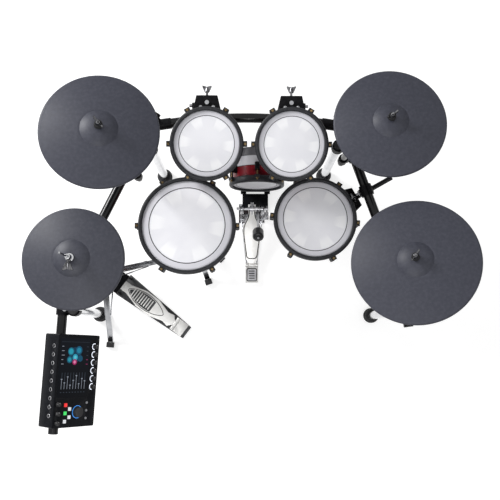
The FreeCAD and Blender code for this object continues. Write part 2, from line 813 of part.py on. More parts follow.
for spot, (rail, station) in leg_spots.items():
    upright = upright_on(rail, station)
    leg_items.append(tube(f"leg_{spot}", tube_dia, tube_wall, leg_length,
                          at(upright.x, upright.y, foot_floor.value)))
    rubber_items.append(turned(f"foot_{spot}", foot_points, at(upright.x, upright.y, 0)))
    leg_top = rail_z + leg_top_rise.value
    rubber_items.append(turned(f"leg_cap_{spot}", cap_points,
                               at(upright.x, upright.y, leg_top - cap_plug.value)))
    top = sleeve_clamp(f"leg_clamp_{spot}", (station[0], station[1], tube_dia, clamp_length),
                       (upright, UP, tube_dia, clamp_length))
    key_bolt(f"leg_bolt_{spot}", top)
node("rack_legs", leg_items)

# Plugs in the open ends of the side rails.
for name, point, heading in (
        ("left_back", left_rail.start, left_rail.rear * -1), ("left_front", left_rail.end, left_rail.front),
        ("right_back", right_rail.start, right_rail.rear * -1),
        ("right_front", right_rail.end, right_rail.front)):
    rubber_items.append(turned(f"rail_cap_{name}", cap_points, along(point, heading, -cap_plug.value)))

# Corner clamps take the back rail's ends into the side rails.
for name, rail, end in (("left", left_rail, back_left), ("right", right_rail, back_right)):
    inward = rail.inward(rail.rear)
    end_heading = back_station(end.x)[1]
    outward_sign = 1 if end_heading.dot(inward) > 0 else -1
    point, heading = back_station(end.x + end_heading.x * outward_sign * corner_sleeve.value / 2)
    top = sleeve_clamp(f"corner_clamp_{name}", (rail.joint, rail.rear, tube_dia, clamp_length),
                       (point, heading * outward_sign, tube_dia, corner_sleeve), UP, True)
    key_bolt(f"corner_bolt_{name}", top)


# Cymbals: a post on the side rail, a boom to a ratchet, a tilter and a rocking pad.

def lean_axis(lean_x, lean_y):
    """The pad's normal for leans towards +X and +Y."""
    return Vector(math.tan(math.radians(lean_x)), math.tan(math.radians(lean_y)), 1).normalize()


def skin_points(diameter):
    """The rubber top: bell, bow and a rounded rim that wraps the base."""
    rim = diameter / 2
    return [
        (pad_hole_dia / 2, bell_top_rise - pad_skin),
        (bell_dia / 2 - pad_skin / 2, bell_base_rise - pad_skin),
        (rim - rim_round, pad_rim_rise - pad_skin),
        (rim - rim_round, 0),
        (rim - rim_round / 2, 0, rim_round / 2, 1),
        (rim, rim_round / 2),
        (rim, rim_round / 2 + 0.5, rim_round, 1),
        (rim - rim_round, pad_rim_rise + rim_round / 2 + 0.5, bow_radius, 1),
        (bell_dia / 2, bell_base_rise, bell_radius, 1),
        (pad_hole_dia / 2, bell_top_rise)]


def base_points(diameter):
    """The plastic dish under the rubber top."""
    rim = diameter / 2 - rim_round - run_gap
    top = pad_skin + run_gap
    return [
        (pad_hole_dia / 2, bell_top_rise - top - pad_base),
        (bell_dia / 2 - pad_skin, bell_base_rise - top - pad_base),
        (rim, pad_rim_rise - top - pad_base + 0.5),
        (rim, pad_rim_rise - top),
        (bell_dia / 2 - pad_skin / 2, bell_base_rise - top),
        (pad_hole_dia / 2, bell_top_rise - top)]


def pad_layers(name, diameter, place):
    skin = turned(f"{name}_skin", skin_points(diameter), place)
    base = turned(f"{name}_base", base_points(diameter), place)
    return [skin, base]


cymbals = {}
arm_items = []


def cymbal(name, rail, station, post_top, diameter, centre, lean):
    """Build one cymbal from its rim centre and its lean."""
    normal = lean_axis(*lean)
    tilt_axis = normal.cross(UP).normalize()
    pad_frame = frame_of(centre, tilt_axis, normal)
    upright = upright_on(rail, station)
    top = sleeve_clamp(f"{name}_post_clamp", (station[0], station[1], tube_dia, clamp_length),
                       (upright, UP, post_dia, clamp_length))
    key_bolt(f"{name}_post_bolt", top)
    # The boom lies on the side of each ratchet that it comes from, clear of the facing half.
    shoulder = Vector(upright.x, upright.y, post_top.value + ratchet_dia.value / 2 + run_gap.value)
    side = 1 if (centre - shoulder).dot(tilt_axis) > 0 else -1
    half_step = tilt_axis * (side * (ratchet_width.value + run_gap.value) / 2)
    half = ratchet_width.value / 2
    rod_eye = pad_frame.multVec(Vector(0, 0, -knuckle_drop.value))
    boom_eye = rod_eye - half_step * 2
    boom_root = shoulder + half_step
    post_eye = shoulder - half_step
    post_length = Size.of(post_top.value - rail_z + post_drop.value)
    post = cylinder(f"{name}_post_bar", post_dia, post_length,
                    at(upright.x, upright.y, rail_z - post_drop.value))
    post_disc = cylinder(f"{name}_post_disc", ratchet_dia, ratchet_width, along(post_eye, tilt_axis, -half))
    neck_foot = shoulder - half_step - UP * (ratchet_dia.value / 2 + run_gap.value + 1)
    post_neck = block(f"{name}_post_neck", ratchet_width * 0.8, ratchet_dia * 0.7, ratchet_dia / 2,
                      frame_of(neck_foot, tilt_axis, UP))
    arm_items.append(fused(f"{name}_post", [post, post_disc, post_neck]))
    reach = boom_eye - boom_root
    boom = cylinder(f"{name}_boom_bar", boom_dia, reach.Length, along(boom_root, reach))
    boom_disc = cylinder(f"{name}_boom_disc", ratchet_dia, ratchet_width, along(boom_root, tilt_axis, -half))
    eye = cylinder(f"{name}_boom_eye", ratchet_dia, ratchet_width, along(boom_eye, tilt_axis, -half))
    arm_items.append(fused(f"{name}_boom", [boom_disc, boom, eye]))

    # The tilter's rod carries the rocking seat, the stopper and the wing nut.
    hub = cylinder(f"{name}_hub", ratchet_dia, ratchet_width, along(rod_eye, tilt_axis, -half))
    pad_under = bell_top_rise - pad_skin - run_gap - pad_base
    rod_length = bell_top_rise + stopper_height + wing_nut_height + rod_tip_rise + knuckle_drop
    rod = cylinder(f"{name}_rod", tilter_rod_dia, rod_length, along(rod_eye, normal))
    stem = fused(f"{name}_stem", [hub, rod])
    bore = tilter_rod_dia / 2 + seat_gap
    seat_top = pad_under - rock_gap
    seat = turned(f"{name}_seat", [
        (bore, seat_top - seat_height), (seat_dia / 2, seat_top - seat_height),
        (seat_dia / 2, seat_top - seat_height * 0.4), (seat_tip_dia / 2, seat_top), (bore, seat_top)],
        pad_frame)
    stop_foot = bell_top_rise + rock_gap
    stopper = turned(f"{name}_stopper", [
        (bore, stop_foot), (seat_tip_dia / 2, stop_foot), (stopper_dia / 2, stop_foot + stopper_height * 0.4),
        (stopper_dia / 2 - 2, stop_foot + stopper_height), (bore, stop_foot + stopper_height)], pad_frame)
    nut_foot = stop_foot + stopper_height
    nut = turned(f"{name}_nut", [
        (bore, nut_foot), (wing_nut_dia / 2, nut_foot), (wing_nut_dia / 2 - 2, nut_foot + wing_nut_height),
        (bore, nut_foot + wing_nut_height)], pad_frame)
    node(f"{name}_tilter", [stem, seat, stopper, nut])
    skin, base = pad_layers(name, diameter, pad_frame)
    node(f"{name}_pad", [skin, base])
    cymbals[name] = {"pivot": rod_eye, "axis": tilt_axis, "normal": normal,
                     "seat": pad_frame.multVec(Vector(0, 0, pad_under.value))}


crash_left_x = size("crash_left_x", -525)
crash_left_y = size("crash_left_y", 383)
crash_left_z = size("crash_left_z", 1020)
crash_left_lean_x = size("crash_left_lean_x", 7)
crash_left_lean_y = size("crash_left_lean_y", 6)
crash_right_x = size("crash_right_x", 489)
crash_right_y = size("crash_right_y", 458)
crash_right_z = size("crash_right_z", 865)
crash_right_lean_x = size("crash_right_lean_x", -4)
crash_right_lean_y = size("crash_right_lean_y", 6)
ride_x = size("ride_x", 573)
ride_y = size("ride_y", -41)
ride_z = size("ride_z", 855)
ride_lean_x = size("ride_lean_x", -13)
ride_lean_y = size("ride_lean_y", 10)
doc.recompute()
cymbal("crash_left", left_rail, left_rail.rear_station(crash_left_station.value), crash_left_post_top,
       crash_dia,
       Vector(crash_left_x.value, crash_left_y.value, crash_left_z.value),
       (crash_left_lean_x.value, crash_left_lean_y.value))
cymbal("crash_right", right_rail, right_rail.rear_station(crash_right_station.value), crash_right_post_top,
       crash_dia,
       Vector(crash_right_x.value, crash_right_y.value, crash_right_z.value),
       (crash_right_lean_x.value, crash_right_lean_y.value))
cymbal("ride", right_rail, right_rail.rear_station(ride_station.value), ride_post_top, ride_dia,
       Vector(ride_x.value, ride_y.value, ride_z.value), (ride_lean_x.value, ride_lean_y.value))
node("cymbal_arms", arm_items)


# Drums: shell, head, hoop with ears, lugs and tension rods, in a frame with its origin at the shell's bottom.

def hoop_points(radius, depth):
    inner = radius + hoop_inset
    outer = inner + hoop_width
    flesh = radius + collar_gap + flesh_width + collar_gap
    top = depth + hoop_rise
    return [
        (inner, depth - flesh_drop), (flesh, depth - flesh_drop), (flesh, depth - hoop_skirt),
        (outer - 3, depth - hoop_skirt), (outer, depth - hoop_skirt + 3),
        (outer, top - hoop_round, hoop_round, 1), (outer - hoop_round, top),
        (inner + hoop_lip_round, top, hoop_lip_round, 1), (inner, top - hoop_lip_round)]


def head_points(radius, depth):
    collar = radius + collar_gap
    low = depth - flesh_drop - flesh_height
    return [
        (0, depth), (collar, depth), (collar, low), (collar + flesh_width, low),
        (collar + flesh_width, depth - flesh_drop), (collar + collar_wall, depth - flesh_drop),
        (collar + collar_wall, depth + head_skin), (0, depth + head_skin)]


def shell_points(radius, depth):
    inner = radius - shell_wall
    return [
        (inner, 0), (radius, 0), (radius, depth - bearing_edge), (radius - bearing_edge, depth),
        (inner, depth)]


def drum(name, radius, depth, place, first_lug, extras=()):
    """Make one drum: a shell node with its fittings, a head node and a hoop node."""
    shell = turned(f"{name}_shell_ring", shell_points(radius, depth), place)
    plate_dia = (radius - shell_wall - run_gap) * 2
    trigger_z = depth - trigger_drop
    trigger = cylinder(f"{name}_trigger_plate", plate_dia, trigger_plate, place * at(0, 0, trigger_z.value))
    cone_height = trigger_drop - trigger_plate - run_gap
    sensor = cone(f"{name}_trigger_cone", cone_base_dia, cone_tip_dia, cone_height,
                  place * at(0, 0, trigger_z.value + trigger_plate.value))
    bottom = cylinder(f"{name}_bottom_plate", plate_dia, bottom_plate, place * at(0, 0, bottom_plate.value))
    ring = turned(f"{name}_hoop_ring", hoop_points(radius, depth))
    ear_start = radius + hoop_inset + hoop_width / 2
    ear_length = radius + ear_reach - ear_start
    ear_foot = depth - hoop_skirt
    ear = block(f"{name}_ear", ear_length, ear_width, ear_height,
                at(ear_start.value + ear_length.value / 2, 0, ear_foot.value))
    hole = cylinder(f"{name}_ear_hole", tension_rod_dia + run_gap * 2, ear_height * 3,
                    at(radius.value + tension_rod_reach.value, 0, ear_foot.value - ear_height.value))
    spots = polar(lug_count.value, first_lug)
    ears = copies(f"{name}_ears", ear, spots)
    holes = copies(f"{name}_ear_holes", hole, spots)
    hoop = cut(f"{name}_hoop_body", fused(f"{name}_hoop_blank", [ring, ears]), [holes])
    hoop.Placement = place

    lug_reach = ear_reach - seat_gap
    lug = padded(f"{name}_lug", [
        (0, 0), (lug_reach - lug_round, 0, lug_round, 1), (lug_reach, lug_round),
        (lug_reach, lug_width - lug_round, lug_round, 1), (lug_reach - lug_round, lug_width), (0, lug_width)],
        lug_height, at(radius.value + seat_gap.value, -lug_width.value / 2,
                       depth.value - lug_drop.value - lug_height.value))
    rod_length = lug_drop - hoop_skirt + ear_height
    rod = turned(f"{name}_tension_rod", [
        (0, 0), (tension_rod_dia / 2, 0), (tension_rod_dia / 2, rod_length),
        (tension_head_dia / 2, rod_length),
        (tension_head_dia / 2, rod_length + tension_head_height), (0, rod_length + tension_head_height)],
        at(radius.value + tension_rod_reach.value, 0, depth.value - lug_drop.value))
    placed = [place * spot for spot in spots]
    lugs = copies(f"{name}_lugs", lug, placed)
    rods = copies(f"{name}_tension_rods", rod, placed)
    node(f"{name}_shell", [shell, trigger, sensor, bottom, lugs, rods] + list(extras))
    node(f"{name}_head", [turned(f"{name}_membrane", head_points(radius, depth), place)])
    node(f"{name}_hoop", [hoop])


def wing_bolt(name, place):
    """A bolt with two wings, standing along its Z axis."""
    shank = cylinder(f"{name}_shank", wing_bolt_dia, wing_bolt_length, place)
    wing = block(f"{name}_wing", wing_span, wing_thick, wing_height, place * at(0, 0, wing_bolt_length.value))
    return fused(name, [shank, wing])


def bracket(name, radius, depth, place, bore_dia, bore_place, reach):
    """A trapezoid mount bolted to the shell's side, facing the drum frame's +Y."""
    half_in = bracket_inner_width / 2
    inset = half_in - bracket_outer_width / 2
    foot = at(-half_in.value, radius.value + seat_gap.value,
              depth.value - bracket_drop.value - bracket_height.value)
    solid = padded(f"{name}_block", [
        (0, 0), (bracket_inner_width, 0), (bracket_inner_width, bracket_step),
        (bracket_inner_width - inset, reach), (inset, reach), (0, bracket_step)], bracket_height,
        place * foot)
    bore = cylinder(f"{name}_bore", bore_dia, bracket_height * 4, bore_place)
    return cut(name, solid, [bore])


# Rack toms hang on L-rods whose stubs turn in clamps behind the back rail.
toms = {}


def rack_tom(name, x, side):
    rail_point, heading = back_station(x.value + side * stub_clamp_offset.value)
    stub_y = rail_point.y + stub_spacing.value
    stub = Vector(x.value, stub_y, rail_z)
    clamp_point = Vector(rail_point.x, stub_y, rail_z)
    top = sleeve_clamp(f"{name}_rod_clamp", (rail_point, heading, tube_dia, clamp_length),
                       (clamp_point, ALONG_X, lrod_dia + run_gap * 2 - seat_gap * 2, stub_clamp_length))
    key_bolt(f"{name}_rod_bolt", top)
    lean = Rotation(ALONG_X, tom_tilt.value)
    rod_reach = tom_radius + bracket_rod_reach
    shell_foot = stub + lean.multVec(Vector(0, -rod_reach.value, tom_rise.value - tom_depth.value))
    place = Placement(shell_foot, lean)
    rod_top = lean.multVec(Vector(0, 0, tom_rise.value - bracket_drop.value + lrod_overrun.value))
    path = corner_path([stub + ALONG_X * (side * stub_length.value), stub, stub + rod_top], lrod_bend.value)
    lrod = swept(f"{name}_lrod", path, lrod_dia)
    bore_place = place * at(0, rod_reach.value, 0)
    mount = bracket(f"{name}_bracket", tom_radius, tom_depth, place, lrod_dia + seat_gap * 2, bore_place,
                    bracket_reach)
    bolt_z = tom_depth.value - bracket_drop.value - bracket_height.value / 2
    bolt_y = tom_radius.value + seat_gap.value + bracket_reach.value
    bolt = wing_bolt(f"{name}_wing_bolt", place * at(0, bolt_y, bolt_z, ALONG_X, -90))
    drum(name, tom_radius, tom_depth, place, 0, [lrod, mount, bolt])
    toms[name] = {"stub": stub}


rack_tom("tom_left", tom_left_x, -1)
rack_tom("tom_right", tom_right_x, 1)

# The floor tom's arm runs under the right rail and turns in its clamp.
floor_yaw = floor_arm_turn.value - 90
floor_place = at(floor_x.value, floor_y.value, floor_z.value - floor_depth.value, UP, floor_yaw)
floor_heading = Vector(math.cos(math.radians(floor_arm_turn.value)),
                       math.sin(math.radians(floor_arm_turn.value)), 0)
floor_arm_z = floor_depth.value - bracket_drop.value - bracket_height.value / 2
arm_start = floor_radius.value + floor_bracket_reach.value - floor_arm_bury.value
floor_arm_foot = floor_place.multVec(Vector(0, arm_start, floor_arm_z))
floor_arm = cylinder("floor_tom_arm", floor_arm_dia, floor_arm_length, along(floor_arm_foot, floor_heading))
floor_bore = cylinder("floor_arm_bore", floor_arm_dia + seat_gap * 2, floor_arm_bury + 1,
                      along(floor_arm_foot, floor_heading))
floor_block = bracket("floor_tom_block", floor_radius, floor_depth, floor_place, spare_hole_dia,
                      floor_place * at(bracket_outer_width.value / 3,
                                       floor_radius.value + bracket_rod_reach.value, 0),
                      floor_bracket_reach)
floor_mount = cut("floor_tom_bracket", floor_block, [floor_bore])
floor_bolt = wing_bolt("floor_tom_wing_bolt",
                       floor_place * at(0, floor_radius.value + floor_bracket_reach.value / 2,
                                        floor_depth.value - bracket_drop.value))
drum("floor_tom", floor_radius, floor_depth, floor_place, floor_lug_turn.value - floor_yaw,
     [floor_arm, floor_mount, floor_bolt])


def rail_crossing(rail, start, heading):
    """Where a line seen from above crosses the rear run of a side rail."""
    gap = rail.joint - start
    across = heading.x * rail.rear.y - heading.y * rail.rear.x
    return (gap.x * heading.y - gap.y * heading.x) / across


floor_station = rail_crossing(right_rail, floor_arm_foot, floor_heading)
floor_rail_point, floor_rail_heading = right_rail.rear_station(floor_station)
floor_clamp_point = Vector(floor_rail_point.x, floor_rail_point.y, floor_arm_foot.z)
floor_top = sleeve_clamp("floor_tom_clamp", (floor_rail_point, floor_rail_heading, tube_dia, clamp_length),
                         (floor_clamp_point, floor_heading, floor_arm_dia + run_gap * 2 - seat_gap * 2,
                          stub_clamp_length), right_rail.inward(floor_rail_heading))
key_bolt("floor_tom_clamp_bolt", floor_top)

# Snare on a tilting three-arm basket.
snare_place = at(snare_x.value, snare_y.value, snare_z.value - snare_depth.value)
drum("snare", snare_radius, snare_depth, snare_place, 0)
snare_pivot_z = snare_z.value - snare_pivot_drop.value
snare_axis = Vector(snare_x.value, snare_y.value, 0)
snare_pivot = snare_axis + UP * snare_pivot_z
snare_foot_z = snare_place.Base.z
hub_foot = snare_pivot_z + ratchet_dia.value / 2 + run_gap.value * 4
hub = cylinder("basket_hub", basket_hub_dia, basket_hub_height,
               Placement(snare_axis + UP * hub_foot, Rotation()))
hub_eye = cylinder("basket_eye", ratchet_dia, ratchet_width,
                   along(snare_pivot + ALONG_X * (run_gap.value / 2), ALONG_X))
neck = block("basket_neck", ratchet_width, ratchet_dia, ratchet_dia / 2 + basket_hub_height,
             Placement(snare_pivot + ALONG_X * (run_gap.value / 2 + ratchet_width.value / 2), Rotation()))
arm_run = snare_radius + grip_gap + grip_thick / 2
arm_foot = hub_foot + basket_hub_height.value - basket_arm_thick.value
basket_parts = [hub, hub_eye, neck]
grip_items = []
arm_turns = [basket_turn.value + 120 * index for index in range(3)]
grip_foot = snare_foot_z - basket_arm_thick.value - run_gap.value
for index, turn in enumerate(arm_turns):
    spoke_frame = Placement(snare_axis, Rotation(UP, turn))
    spoke_end = Vector(arm_run.value, 0, grip_foot)
    spoke_start = Vector(0, 0, arm_foot)
    spoke = spoke_end - spoke_start
    pitch = math.degrees(math.atan2(spoke.z, spoke.x))
    arm_frame = spoke_frame * Placement(spoke_start, Rotation(ALONG_Y, -pitch))
    arm_box = block(f"basket_arm_{index}", spoke.Length, basket_arm_width, basket_arm_thick,
                    arm_frame * at(spoke.Length / 2, 0, 0))
    basket_parts.append(arm_box)
    post_box = block(f"basket_post_{index}", grip_thick, basket_arm_width, grip_height / 2,
                     spoke_frame * Placement(spoke_end, Rotation()))
    basket_parts.append(post_box)
    grip = block(f"basket_grip_{index}", grip_thick, grip_width, grip_height,
                 spoke_frame * Placement(spoke_end + UP * (grip_height.value / 2), Rotation()))
    grip_items.append(grip)
node("snare_basket", [fused("basket_frame", basket_parts)] + grip_items)

# Tripod stands: a tube, collars, and legs and stays of paired strips with rubber feet.
stand_items = []


def strip(name, start, end):
    """A flat strip standing on edge between two points."""
    run = end - start
    side = UP.cross(run).normalize()
    frame = frame_of(start, run, run.cross(side).normalize())
    return block(name, run.Length, strip_thick, strip_width,
                 frame * at(run.Length / 2, 0, -strip_width.value / 2))


def tripod(name, axis, turns, radius, collar_z, stay_z, tube_foot, tube_top):
    """One stand's column, eared collars, paired legs and stays, and rubber feet."""
    stand_items.append(tube(f"{name}_column", stand_tube_dia, stand_tube_wall, tube_top - tube_foot,
                            Placement(axis + UP * tube_foot.value, Rotation())))
    ring_wall = (tripod_collar_dia - stand_tube_dia) / 2 - seat_gap
    ear_middle = collar_ear_start.value + collar_ear_length.value / 2
    for part, height, gap in (("leg_collar", collar_z, strip_spacing - strip_thick),
                              ("stay_collar", stay_z, strip_spacing + strip_thick)):
        foot = Placement(axis + UP * (height.value - tripod_collar_height.value / 2), Rotation())
        collar = [tube(f"{name}_{part}_ring", tripod_collar_dia, ring_wall, tripod_collar_height, foot)]
        for turn in turns:
            collar.append(block(f"{name}_{part}_ear", collar_ear_length, gap - seat_gap * 2,
                                tripod_collar_height,
                                foot * at(0, 0, 0, UP, turn) * at(ear_middle, 0, 0)))
        stand_items.append(fused(f"{name}_{part}", collar))
    for index, turn in enumerate(turns):
        out = Vector(math.cos(math.radians(turn)), math.sin(math.radians(turn)), 0)
        across = UP.cross(out)
        hip = axis + out * strip_start.value + UP * collar_z.value
        toe = axis + out * radius.value + UP * (stand_foot_dia.value / 2)
        knee = hip + (toe - hip) * stay_reach.value
        brace = axis + out * strip_start.value + UP * stay_z.value
        for sign in (-1, 1):
            leg_side = across * (sign * strip_spacing.value / 2)
            stay_side = across * (sign * (strip_spacing.value / 2 + strip_thick.value))
            stand_items.append(strip(f"{name}_leg", hip + leg_side, toe + leg_side))
            stand_items.append(strip(f"{name}_stay", brace + stay_side, knee + stay_side))
        rubber_items.append(stand_foot(f"{name}_foot_{index}", hip, toe, out))


def stand_foot(name, hip, toe, out):
    """A rubber foot at the end of a leg, flat on the floor."""
    width = strip_spacing + strip_thick * 4
    slope = math.asin((hip.z - toe.z) / (hip - toe).Length)
    start = strip_width.value / 2 * math.sin(slope) + seat_gap.value
    middle = toe + out * (start + stand_foot_dia.value / 2) - UP * (stand_foot_dia.value / 2)
    return block(name, stand_foot_dia, width, stand_foot_dia, frame_of(middle, out, UP))


hihat_axis = Vector(hihat_x.value, hihat_y.value, 0)
hihat_turns = [hihat_pedal_turn.value + hihat_leg_spread.value,
               hihat_pedal_turn.value - hihat_leg_spread.value,
               hihat_pedal_turn.value + 180]
tripod("hihat", hihat_axis, hihat_turns, tripod_radius, tripod_collar_z, tripod_stay_z,
       hihat_tube_foot, hihat_lower_top)
snare_turns = [snare_leg_turn.value + 120 * index for index in range(3)]
tripod("snare_stand", snare_axis, snare_turns, snare_tripod_radius, snare_collar_z, snare_stay_z,
       snare_tube_foot, snare_z - snare_pivot_drop - ratchet_dia / 2)
snare_eye = cylinder("snare_stand_eye", ratchet_dia, ratchet_width,
                     along(snare_pivot - ALONG_X * (run_gap.value / 2), ALONG_X * -1))
snare_neck = block("snare_stand_neck", ratchet_width, ratchet_dia * 0.8, ratchet_dia / 2,
                   Placement(snare_pivot + UP * (-ratchet_dia.value / 2)
                             - ALONG_X * (run_gap.value / 2 + ratchet_width.value / 2), Rotation()))
stand_items.append(fused("snare_stand_head", [snare_eye, snare_neck]))

# Hi-hat column top, controller seat, pedal base and its arch.
stand_items.append(tube("hihat_upper", stand_upper_dia, stand_tube_wall,
                        hihat_upper_top - hihat_lower_top + hihat_tube_overlap,
                        Placement(hihat_axis + UP * (hihat_lower_top.value - hihat_tube_overlap.value),
                                  Rotation())))
joint_bore = stand_tube_dia / 2 + seat_gap
stand_items.append(turned("hihat_height_joint", [
    (joint_bore, 0), (hihat_joint_dia / 2, 0), (hihat_joint_dia / 2, hihat_joint_height),
    (stand_upper_dia / 2 + seat_gap, hihat_joint_height),
    (stand_upper_dia / 2 + seat_gap, hihat_joint_height / 2),
    (joint_bore, hihat_joint_height / 2)],
    Placement(hihat_axis + UP * (hihat_lower_top.value - hihat_joint_height.value / 2), Rotation())))
controller = turned("hihat_controller", [
    (pull_rod_dia / 2 + run_gap, 0), (stand_upper_dia / 2, 0), (controller_dia / 2, controller_height * 0.4),
    (controller_dia / 2, controller_height - 4), (controller_dia / 2 - 4, controller_height),
    (pull_rod_dia / 2 + run_gap, controller_height)], Placement(hihat_axis + UP * hihat_upper_top.value,
                                                                Rotation()))
stand_items.append(controller)
hihat_out = Vector(math.cos(math.radians(hihat_pedal_turn.value)),
                   math.sin(math.radians(hihat_pedal_turn.value)), 0)
hihat_frame = Placement(hihat_axis, Rotation(UP, hihat_pedal_turn.value))
base_half_front, base_half_heel = hihat_base_front_width / 2, hihat_base_heel_width / 2
base_inset = base_half_front - base_half_heel
hihat_base = padded("hihat_pedal_base", [
    (0, 0), (hihat_base_length, base_inset), (hihat_base_length, base_inset + hihat_base_heel_width),
    (0, hihat_base_front_width)], hihat_base_thick,
    hihat_frame * at(hihat_base_start.value, -base_half_front.value, 0))
stand_items.append(hihat_base)
arch_height = hihat_tube_foot - hihat_base_thick
for sign in (-1, 1):
    stand_items.append(block(f"hihat_pillar_{sign}", hihat_arch_thick * 2, hihat_arch_thick, arch_height,
                             hihat_frame * at(hihat_base_start.value + hihat_arch_thick.value,
                                              sign * (hihat_arch_width.value - hihat_arch_thick.value) / 2,
                                              hihat_base_thick.value)))
bridge_reach = hihat_base_start + hihat_arch_thick * 2 + stand_tube_dia / 2
bridge = block("hihat_bridge", bridge_reach, hihat_arch_width, hihat_arch_thick,
               hihat_frame * at(bridge_reach.value / 2 - stand_tube_dia.value / 2, 0, hihat_tube_foot.value))
bridge_bore = cylinder("hihat_bridge_bore", stand_tube_dia + seat_gap * 2, hihat_arch_thick * 3,
                       Placement(hihat_axis + UP * (hihat_tube_foot.value - hihat_arch_thick.value),
                                 Rotation()))
stand_items.append(cut("hihat_bridge_plate", bridge, [bridge_bore]))


def heel_block(name, frame, hinge_reach, length, width, foot):
    """A heel plate with a pin boss each side of the footboard's knuckle, standing at a height."""
    side = (width - hinge_knuckle_width) / 2 - run_gap
    plate = block(f"{name}_plate", length, width, heel_thick,
                  frame * at(hinge_reach.value + length.value / 2 + hinge_knuckle_dia.value / 2, 0,
                             heel_hinge_z.value - heel_thick.value - hinge_knuckle_dia.value / 2 + 2))
    parts = [plate]
    for sign in (-1, 1):
        offset = sign * (hinge_knuckle_width.value / 2 + run_gap.value)
        parts.append(cylinder(f"{name}_boss", hinge_knuckle_dia, side,
                              frame * at(hinge_reach.value, offset, heel_hinge_z.value, ALONG_X, -90 * sign)))
        parts.append(block(f"{name}_cheek", hinge_knuckle_dia, side, heel_hinge_z - foot,
                           frame * at(hinge_reach.value, offset + sign * side.value / 2, foot.value)))
    pin = cylinder(f"{name}_pin", hinge_pin_dia, width,
                   frame * at(hinge_reach.value, width.value / 2, heel_hinge_z.value, ALONG_X, 90))
    return fused(name, parts + [pin])


def mirrored(edge, half):
    """An outline from one edge and its mirror image, with the half width it is drawn about."""
    near = [(x, half - y) for x, y in edge]
    far = [(x, half + y) for x, y in reversed(edge)]
    return near + far, half


def footboard(name, frame, hinge_reach, slope, outline, thickness):
    """A footboard padded from its outline, with a knuckle round the heel pin."""
    tilt = Rotation(ALONG_Y, slope)
    hinge = frame * at(hinge_reach.value, 0, heel_hinge_z.value)
    board_frame = hinge * Placement(Vector(), tilt) * at(0, 0, 0, UP, 180)
    half = outline[1]
    board = padded(f"{name}_board", outline[0], thickness,
                   board_frame * at(0, -half.value, -thickness.value / 2))
    knuckle = cylinder(f"{name}_knuckle", hinge_knuckle_dia, hinge_knuckle_width,
                       hinge * at(0, hinge_knuckle_width.value / 2, 0, ALONG_X, 90))
    tongue = block(f"{name}_tongue", footboard_start + 4, hinge_knuckle_width, thickness,
                   board_frame * at(footboard_start.value / 2 + 2, 0, -thickness.value / 2))
    bore = cylinder(f"{name}_pin_bore", hinge_pin_dia + run_gap * 2, hinge_knuckle_width * 2,
                    hinge * at(0, hinge_knuckle_width.value, 0, ALONG_X, 90))
    return cut(name, fused(f"{name}_blank", [board, tongue, knuckle]), [bore]), board_frame


stand_items.append(heel_block("hihat_heel", hihat_frame, hihat_hinge_reach, hihat_heel_length,
                              hihat_base_heel_width, hihat_base_thick))
toe_half, heel_half = hihat_board_toe_width / 2, hihat_board_heel_width / 2
neck_half, belly_half = hihat_board_neck_width / 2, hihat_board_belly_width / 2
hihat_edge = [
    (footboard_start, hinge_knuckle_width / 2), (footboard_start + footboard_flare, heel_half),
    (hihat_neck_reach, neck_half), (hihat_belly_start, belly_half), (hihat_belly_end, belly_half),
    (hihat_toe_start, toe_half), (hihat_board_length, toe_half)]
hihat_outline = mirrored(hihat_edge, belly_half)
hihat_board = footboard("hihat_footboard_solid", hihat_frame, hihat_hinge_reach,
                        hihat_board_slope.value, hihat_outline, footboard_thick)[0]
node("hihat_footboard", [hihat_board])
node("tripod_stands", stand_items)

# Hi-hat pull rod with its clutch, nuts and the link down to the footboard, and its pad.
rod_frame = Placement(hihat_axis, Rotation())
hihat_under = bell_top_rise - pad_skin - run_gap - pad_base
clutch_foot = hihat_rim_z + hihat_under - clutch_nut_height * 2
clutch_bore = pull_rod_dia / 2 + seat_gap
clutch_top = hihat_rim_z + bell_top_rise + clutch_rise
lower_nut_top = hihat_rim_z + hihat_under - seat_gap
upper_nut_foot = hihat_rim_z + bell_top_rise + seat_gap
clutch = turned("hihat_clutch", [
    (clutch_bore, clutch_foot), (clutch_nut_dia / 2, clutch_foot),
    (clutch_nut_dia / 2, lower_nut_top - clutch_cone),
    (clutch_dia / 2, lower_nut_top), (clutch_dia / 2, upper_nut_foot + seat_gap),
    (clutch_nut_dia / 2, upper_nut_foot + seat_gap), (clutch_nut_dia / 2, upper_nut_foot + clutch_nut_height),
    (clutch_body_dia / 2, upper_nut_foot + clutch_nut_height), (clutch_body_dia / 2, clutch_top),
    (clutch_bore, clutch_top)], rod_frame)
clutch_wing = wing_bolt("hihat_clutch_wing",
                        rod_frame * at(0, -clutch_body_dia.value / 2 - seat_gap.value,
                                       clutch_top.value - clutch_wing_drop.value, ALONG_X, 90))
# A stirrup on the rod's end goes round the footboard's toe.
toe_rise = math.tan(math.radians(hihat_board_slope.value)) * hihat_hinge_reach.value
toe_half_thick = footboard_thick / 2 / math.cos(math.radians(hihat_board_slope.value))
window_half = toe_half_thick + stirrup_room
toe_z = heel_hinge_z + toe_rise
stirrup_frame = hihat_frame * at(0, 0, (toe_z - window_half - stirrup_wall).value)
stirrup_width = hihat_board_toe_width + (stirrup_room + stirrup_wall) * 2
stirrup_blank = block("stirrup_blank", stirrup_depth, stirrup_width, (window_half + stirrup_wall) * 2,
                      stirrup_frame)
stirrup_window = block("stirrup_window", stirrup_depth * 2, hihat_board_toe_width + stirrup_room * 2,
                       window_half * 2,
                       hihat_frame * at(0, 0, (toe_z - window_half).value))
stirrup_top = toe_z + window_half + stirrup_wall
pull_rod = cylinder("hihat_pull_bar", pull_rod_dia, pull_rod_top - stirrup_top + 1,
                    rod_frame * at(0, 0, stirrup_top.value - 1))
